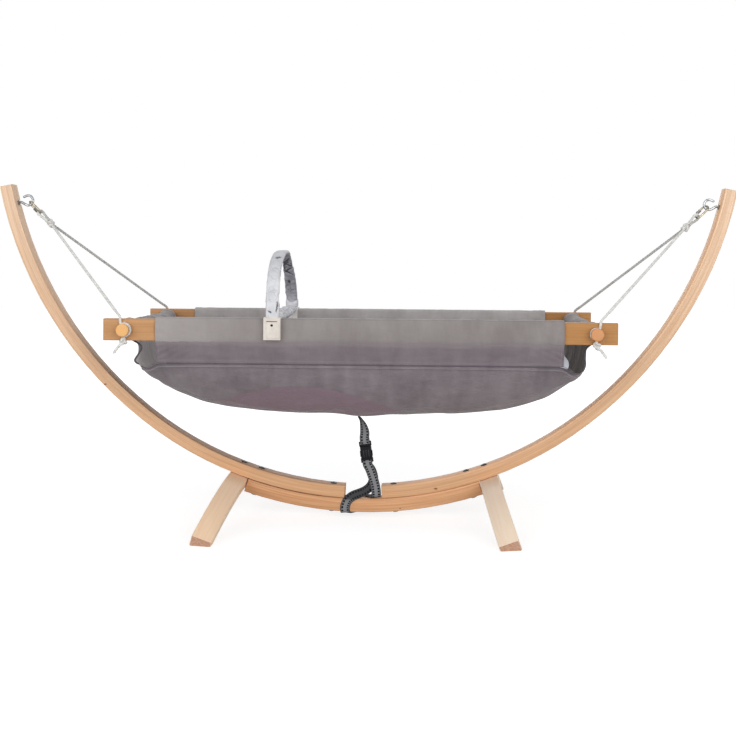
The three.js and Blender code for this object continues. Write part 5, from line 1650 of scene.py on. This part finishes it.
BELT_SHARES = [
    (0.47, -0.58, 2.916, (0.97, 0, 0.2)),
    (0.758, -0.714, 2.286, (0.96, 0, 0.27)),
    (0.939, -0.826, 1.735, (0.97, 0, 0.24)),
    (1, -0.893, 1.367, (1, 0, 0.2)),
    (1, -0.826, 1.144, (1, 0.1, 0.12)),
    (0.97, -0.58, 1.016, (0.96, 0.3, 0)),
    (0.758, -0.179, 1.005, (0.84, 0.54, 0)),
    (0.485, 0.357, 1.003, (0.84, 0.54, 0)),
    (0.333, 0.714, 1, (0.9, 0.4, 0)),
    (0.303, 0.911, 0.979, (1, 0.1, 0)),
    (0.288, 1, 0.874, (1, 0, 0)),
    (0.182, 1, 0.606, (0.96, 0, -0.28)),
    (-0.091, 1, 0.239, (0.96, 0, -0.28)),
    (-0.167, 0.955, 0.052, (1, 0, 0)),
    (-0.197, 0.821, 0.008, (1, 0, 0)),
    (-0.758, 0, 0, (0.75, -0.66, 0)),
    (-1.318, -0.821, 0.008, (1, 0, 0)),
    (-1.348, -0.955, 0.052, (1, 0, 0)),
    (-1.364, -1, 0.157, (1, 0, 0)),
    (-1.379, -1, 0.344, (0.99, 0, -0.12)),
    (-1.273, -1.004, 0.685, (0.91, 0, -0.41)),
    (-1.091, -1.018, 0.921, (0.72, -0.1, -0.69)),
    (-0.788, -1, 1.126, (0.48, -0.2, -0.85)),
    (-0.333, -0.893, 1.283, (0.5, 0.1, -0.86)),
    (0.091, -0.692, 1.42, (0.5, 0.1, -0.86)),
    (0.439, -0.491, 1.63, (0.66, 0.2, -0.72)),
    (0.667, -0.313, 1.892, (0.9, 0.2, -0.38)),
    (0.758, -0.112, 2.181, (1, 0.1, -0.05)),
    (0.682, 0.045, 2.496, (1, 0, 0.15)),
    (0.53, 0.1, 2.798, (1, 0, 0.3)),
]
LEAN_X = np.array([math.cos(BUCKLE_LEAN), 0, -math.sin(BUCKLE_LEAN)])
LEAN_Z = np.array([math.sin(BUCKLE_LEAN), 0, math.cos(BUCKLE_LEAN)])


def in_buckle(x, y, z):
    return BUCKLE_AT + LEAN_X * x + np.array([0, y, 0]) + LEAN_Z * z


def buckle_stop(y, z):
    return in_buckle(0, y, z), tuple(LEAN_X)


def webbing_piece(name, stops, count, body, stands_for):
    line = spline([spot for spot, _ in stops], count)
    across = spline([way for _, way in stops], count)
    run = lengths_along(line)
    ahead_of = np.gradient(line, axis=0)
    half_w = WEB_WIDTH / 2
    half_t = WEB_THICK / 2
    outline = [(-half_w, 0), (-half_w + 0.35, -half_t * 0.8), (-half_w + 1.2, -half_t), (-6, -half_t * 0.92),
               (0, -half_t), (6, -half_t * 0.92), (half_w - 1.2, -half_t),
               (half_w - 0.35, -half_t * 0.8), (half_w, 0),
               (half_w - 0.35, half_t * 0.8), (half_w - 1.2, half_t), (6, half_t * 0.92), (0, half_t),
               (-6, half_t * 0.92), (-half_w + 1.2, half_t), (-half_w + 0.35, half_t * 0.8)]
    rings = []
    uv = []
    for k, spot in enumerate(line):
        direction = unit(ahead_of[k])
        side_way = unit(across[k] - direction * (across[k] @ direction))
        face_way = np.cross(direction, side_way)
        rings.append([spot + side_way * s + face_way * f for s, f in outline])
        uv += [(run[k] * MM, s * MM) for s, f in outline]
    points, faces = closed_tube(rings)
    uv += [(0, 0), (run[-1] * MM, 0)]
    piece = build(name, points, faces, webbing, body, slot="webbing", stands_for=stands_for, uv=uv)
    return piece, run[-1]


top_bar = 2.5 + SEAT_GAP + WEB_THICK
strap_top = BASIN_BOTTOM - 7 - 1.25 - 2 * SEAT_GAP
slot_height = BUCKLE_AT[2] + PLUG_SLOT
upper_stops = [((x * STRAP_START, y * BUCKLE_AT[1], slot_height + z * (strap_top - slot_height)), w)
               for x, y, z, w in FALL_SHARES]
upper_stops += [buckle_stop(y * top_bar, PLUG_SLOT + z * PLUG_FRAME) for y, z in PLUG_SHARES]
upper_strap, upper_length = webbing_piece("upper_webbing", upper_stops, 240, "cradle", ("upper_strap",))
lift = 2 * SEAT_GAP + WEB_THICK / 2
wrap_under = 11 - lift + SEAT_GAP
wrap_over = 45 + lift + WEB_THICK
wrap_depth = 21 + lift
bar_reach = 4.5 + SEAT_GAP + WEB_THICK
lower_stops = [buckle_stop(y * bar_reach, SOCKET_SLOT + z * 40) for y, z in FRONT_SHARES]
lower_stops += [((x * BELT_REACH, y * wrap_depth, wrap_under + z * (wrap_over - wrap_under)), w)
                for x, y, z, w in BELT_SHARES]
lower_stops += [buckle_stop(y * bar_reach, SOCKET_SLOT + z * 40) for y, z in BACK_SHARES]
lower_strap, lower_length = webbing_piece("lower_webbing", lower_stops, 620, None, ("lower_strap",))
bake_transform(lower_strap)


# Buckle

def rounded_block(name, size, centre, radius, look, **more):
    """A block with rounded corners in the buckle's own frame."""
    sx, sy, sz = (value / 2 for value in size)
    points = []
    for z in (-sz, sz):
        for x, y in ((-sx, -sy), (sx, -sy), (sx, sy), (-sx, sy)):
            points.append(in_buckle(centre[0] + x, centre[1] + y, centre[2] + z))
    faces = [(0, 3, 2, 1), (4, 5, 6, 7), (0, 1, 5, 4), (1, 2, 6, 5), (2, 3, 7, 6), (3, 0, 4, 7)]
    piece = build(name, points, faces, look, "cradle", **more)
    add_modifier(piece, "BEVEL", width=radius * MM, segments=3, limit_method="ANGLE",
                 angle_limit=math.radians(35), harden_normals=False)


def body_outline(share):
    """Half width and half thickness of the buckle's body at a share of its height from foot to mouth."""
    waist = 1.3 * math.exp(-((share - 0.52) / 0.16) ** 2)
    swell = 0.9 * math.sin(math.pi * min(share * 1.1, 1.0))
    return 14.6 - waist, 3.4 + 1.1 * swell


rings = []
for i in range(31):
    share = i / 30
    z = -BUCKLE_HALF + 6.4 + (2 * BUCKLE_HALF - 6.4) * share
    wide, thick = body_outline(share)
    ring = []
    for j in range(40):
        angle = TAU * j / 40
        c = squarish(math.cos(angle), 0.35)
        s = squarish(math.sin(angle), 0.6)
        trim = 0.965 if i in (0, 30) else 1.0
        ring.append(in_buckle(wide * c * trim, thick * s * trim, z))
    rings.append(ring)
points, faces = closed_tube(rings)
build("buckle_body", points, faces, buckle_look, "cradle", slot="buckle_plastic",
      stands_for=("buckle_socket",))
PLUG_TOP = BUCKLE_HALF + SEAT_GAP + PLUG_FRAME
# Blocks of the buckle: a name, a size, a middle, how round its edges are, and a finish
# The ribs, the foot bar and the two glints are paler than the black body: painted highlights
BLOCKS = [
    ("buckle_left_rail", (3.4, 7.4, 12), (-13.8, 0, 6 - BUCKLE_HALF), 1.2, buckle_look),
    ("buckle_right_rail", (3.4, 7.4, 12), (13.8, 0, 6 - BUCKLE_HALF), 1.2, buckle_look),
    ("buckle_foot_bar", (31, 5.6, 3.2), (0, 0, 1.6 - BUCKLE_HALF), 1.2, buckle_painted_highlight),
    ("buckle_rib_0", (1.6, 1.0, 17), (-6.5, -4.55, 3), 0.4, buckle_rib_painted_highlight),
    ("buckle_rib_1", (1.6, 1.0, 17), (0, -4.55, 3), 0.4, buckle_rib_painted_highlight),
    ("buckle_rib_2", (1.6, 1.0, 17), (6.5, -4.55, 3), 0.4, buckle_rib_painted_highlight),
    ("buckle_left_prong", (2.6, 4.8, 15), (-14.6, 0, 2.5), 1.0, buckle_look),
    ("buckle_right_prong", (2.6, 4.8, 15), (14.6, 0, 2.5), 1.0, buckle_look),
    ("plug_head", (30, 6.2, 6.4), (0, 0, BUCKLE_HALF + 3.4), 1.4, buckle_look),
    ("plug_left_rail", (3.2, 5.4, 12), (-14, 0, PLUG_TOP - 6), 1.2, buckle_look),
    ("plug_right_rail", (3.2, 5.4, 12), (14, 0, PLUG_TOP - 6), 1.2, buckle_look),
    ("plug_left_glint", (4.2, 1.0, 4.6), (-10.4, -2.7, PLUG_TOP - 3), 0.45, buckle_painted_highlight),
    ("plug_right_glint", (4.2, 1.0, 4.6), (10.4, -2.7, PLUG_TOP - 3), 0.45, buckle_painted_highlight),
    ("plug_top_bar", (31, 5.0, 3.9), (0, 0, PLUG_TOP - 1.95), 1.3, buckle_look),
]
for name, size, centre, radius, look in BLOCKS:
    rounded_block(name, size, centre, radius, look, slot="buckle_plastic",
                  stands_for=("buckle_plug",) if name == "plug_head" else ())
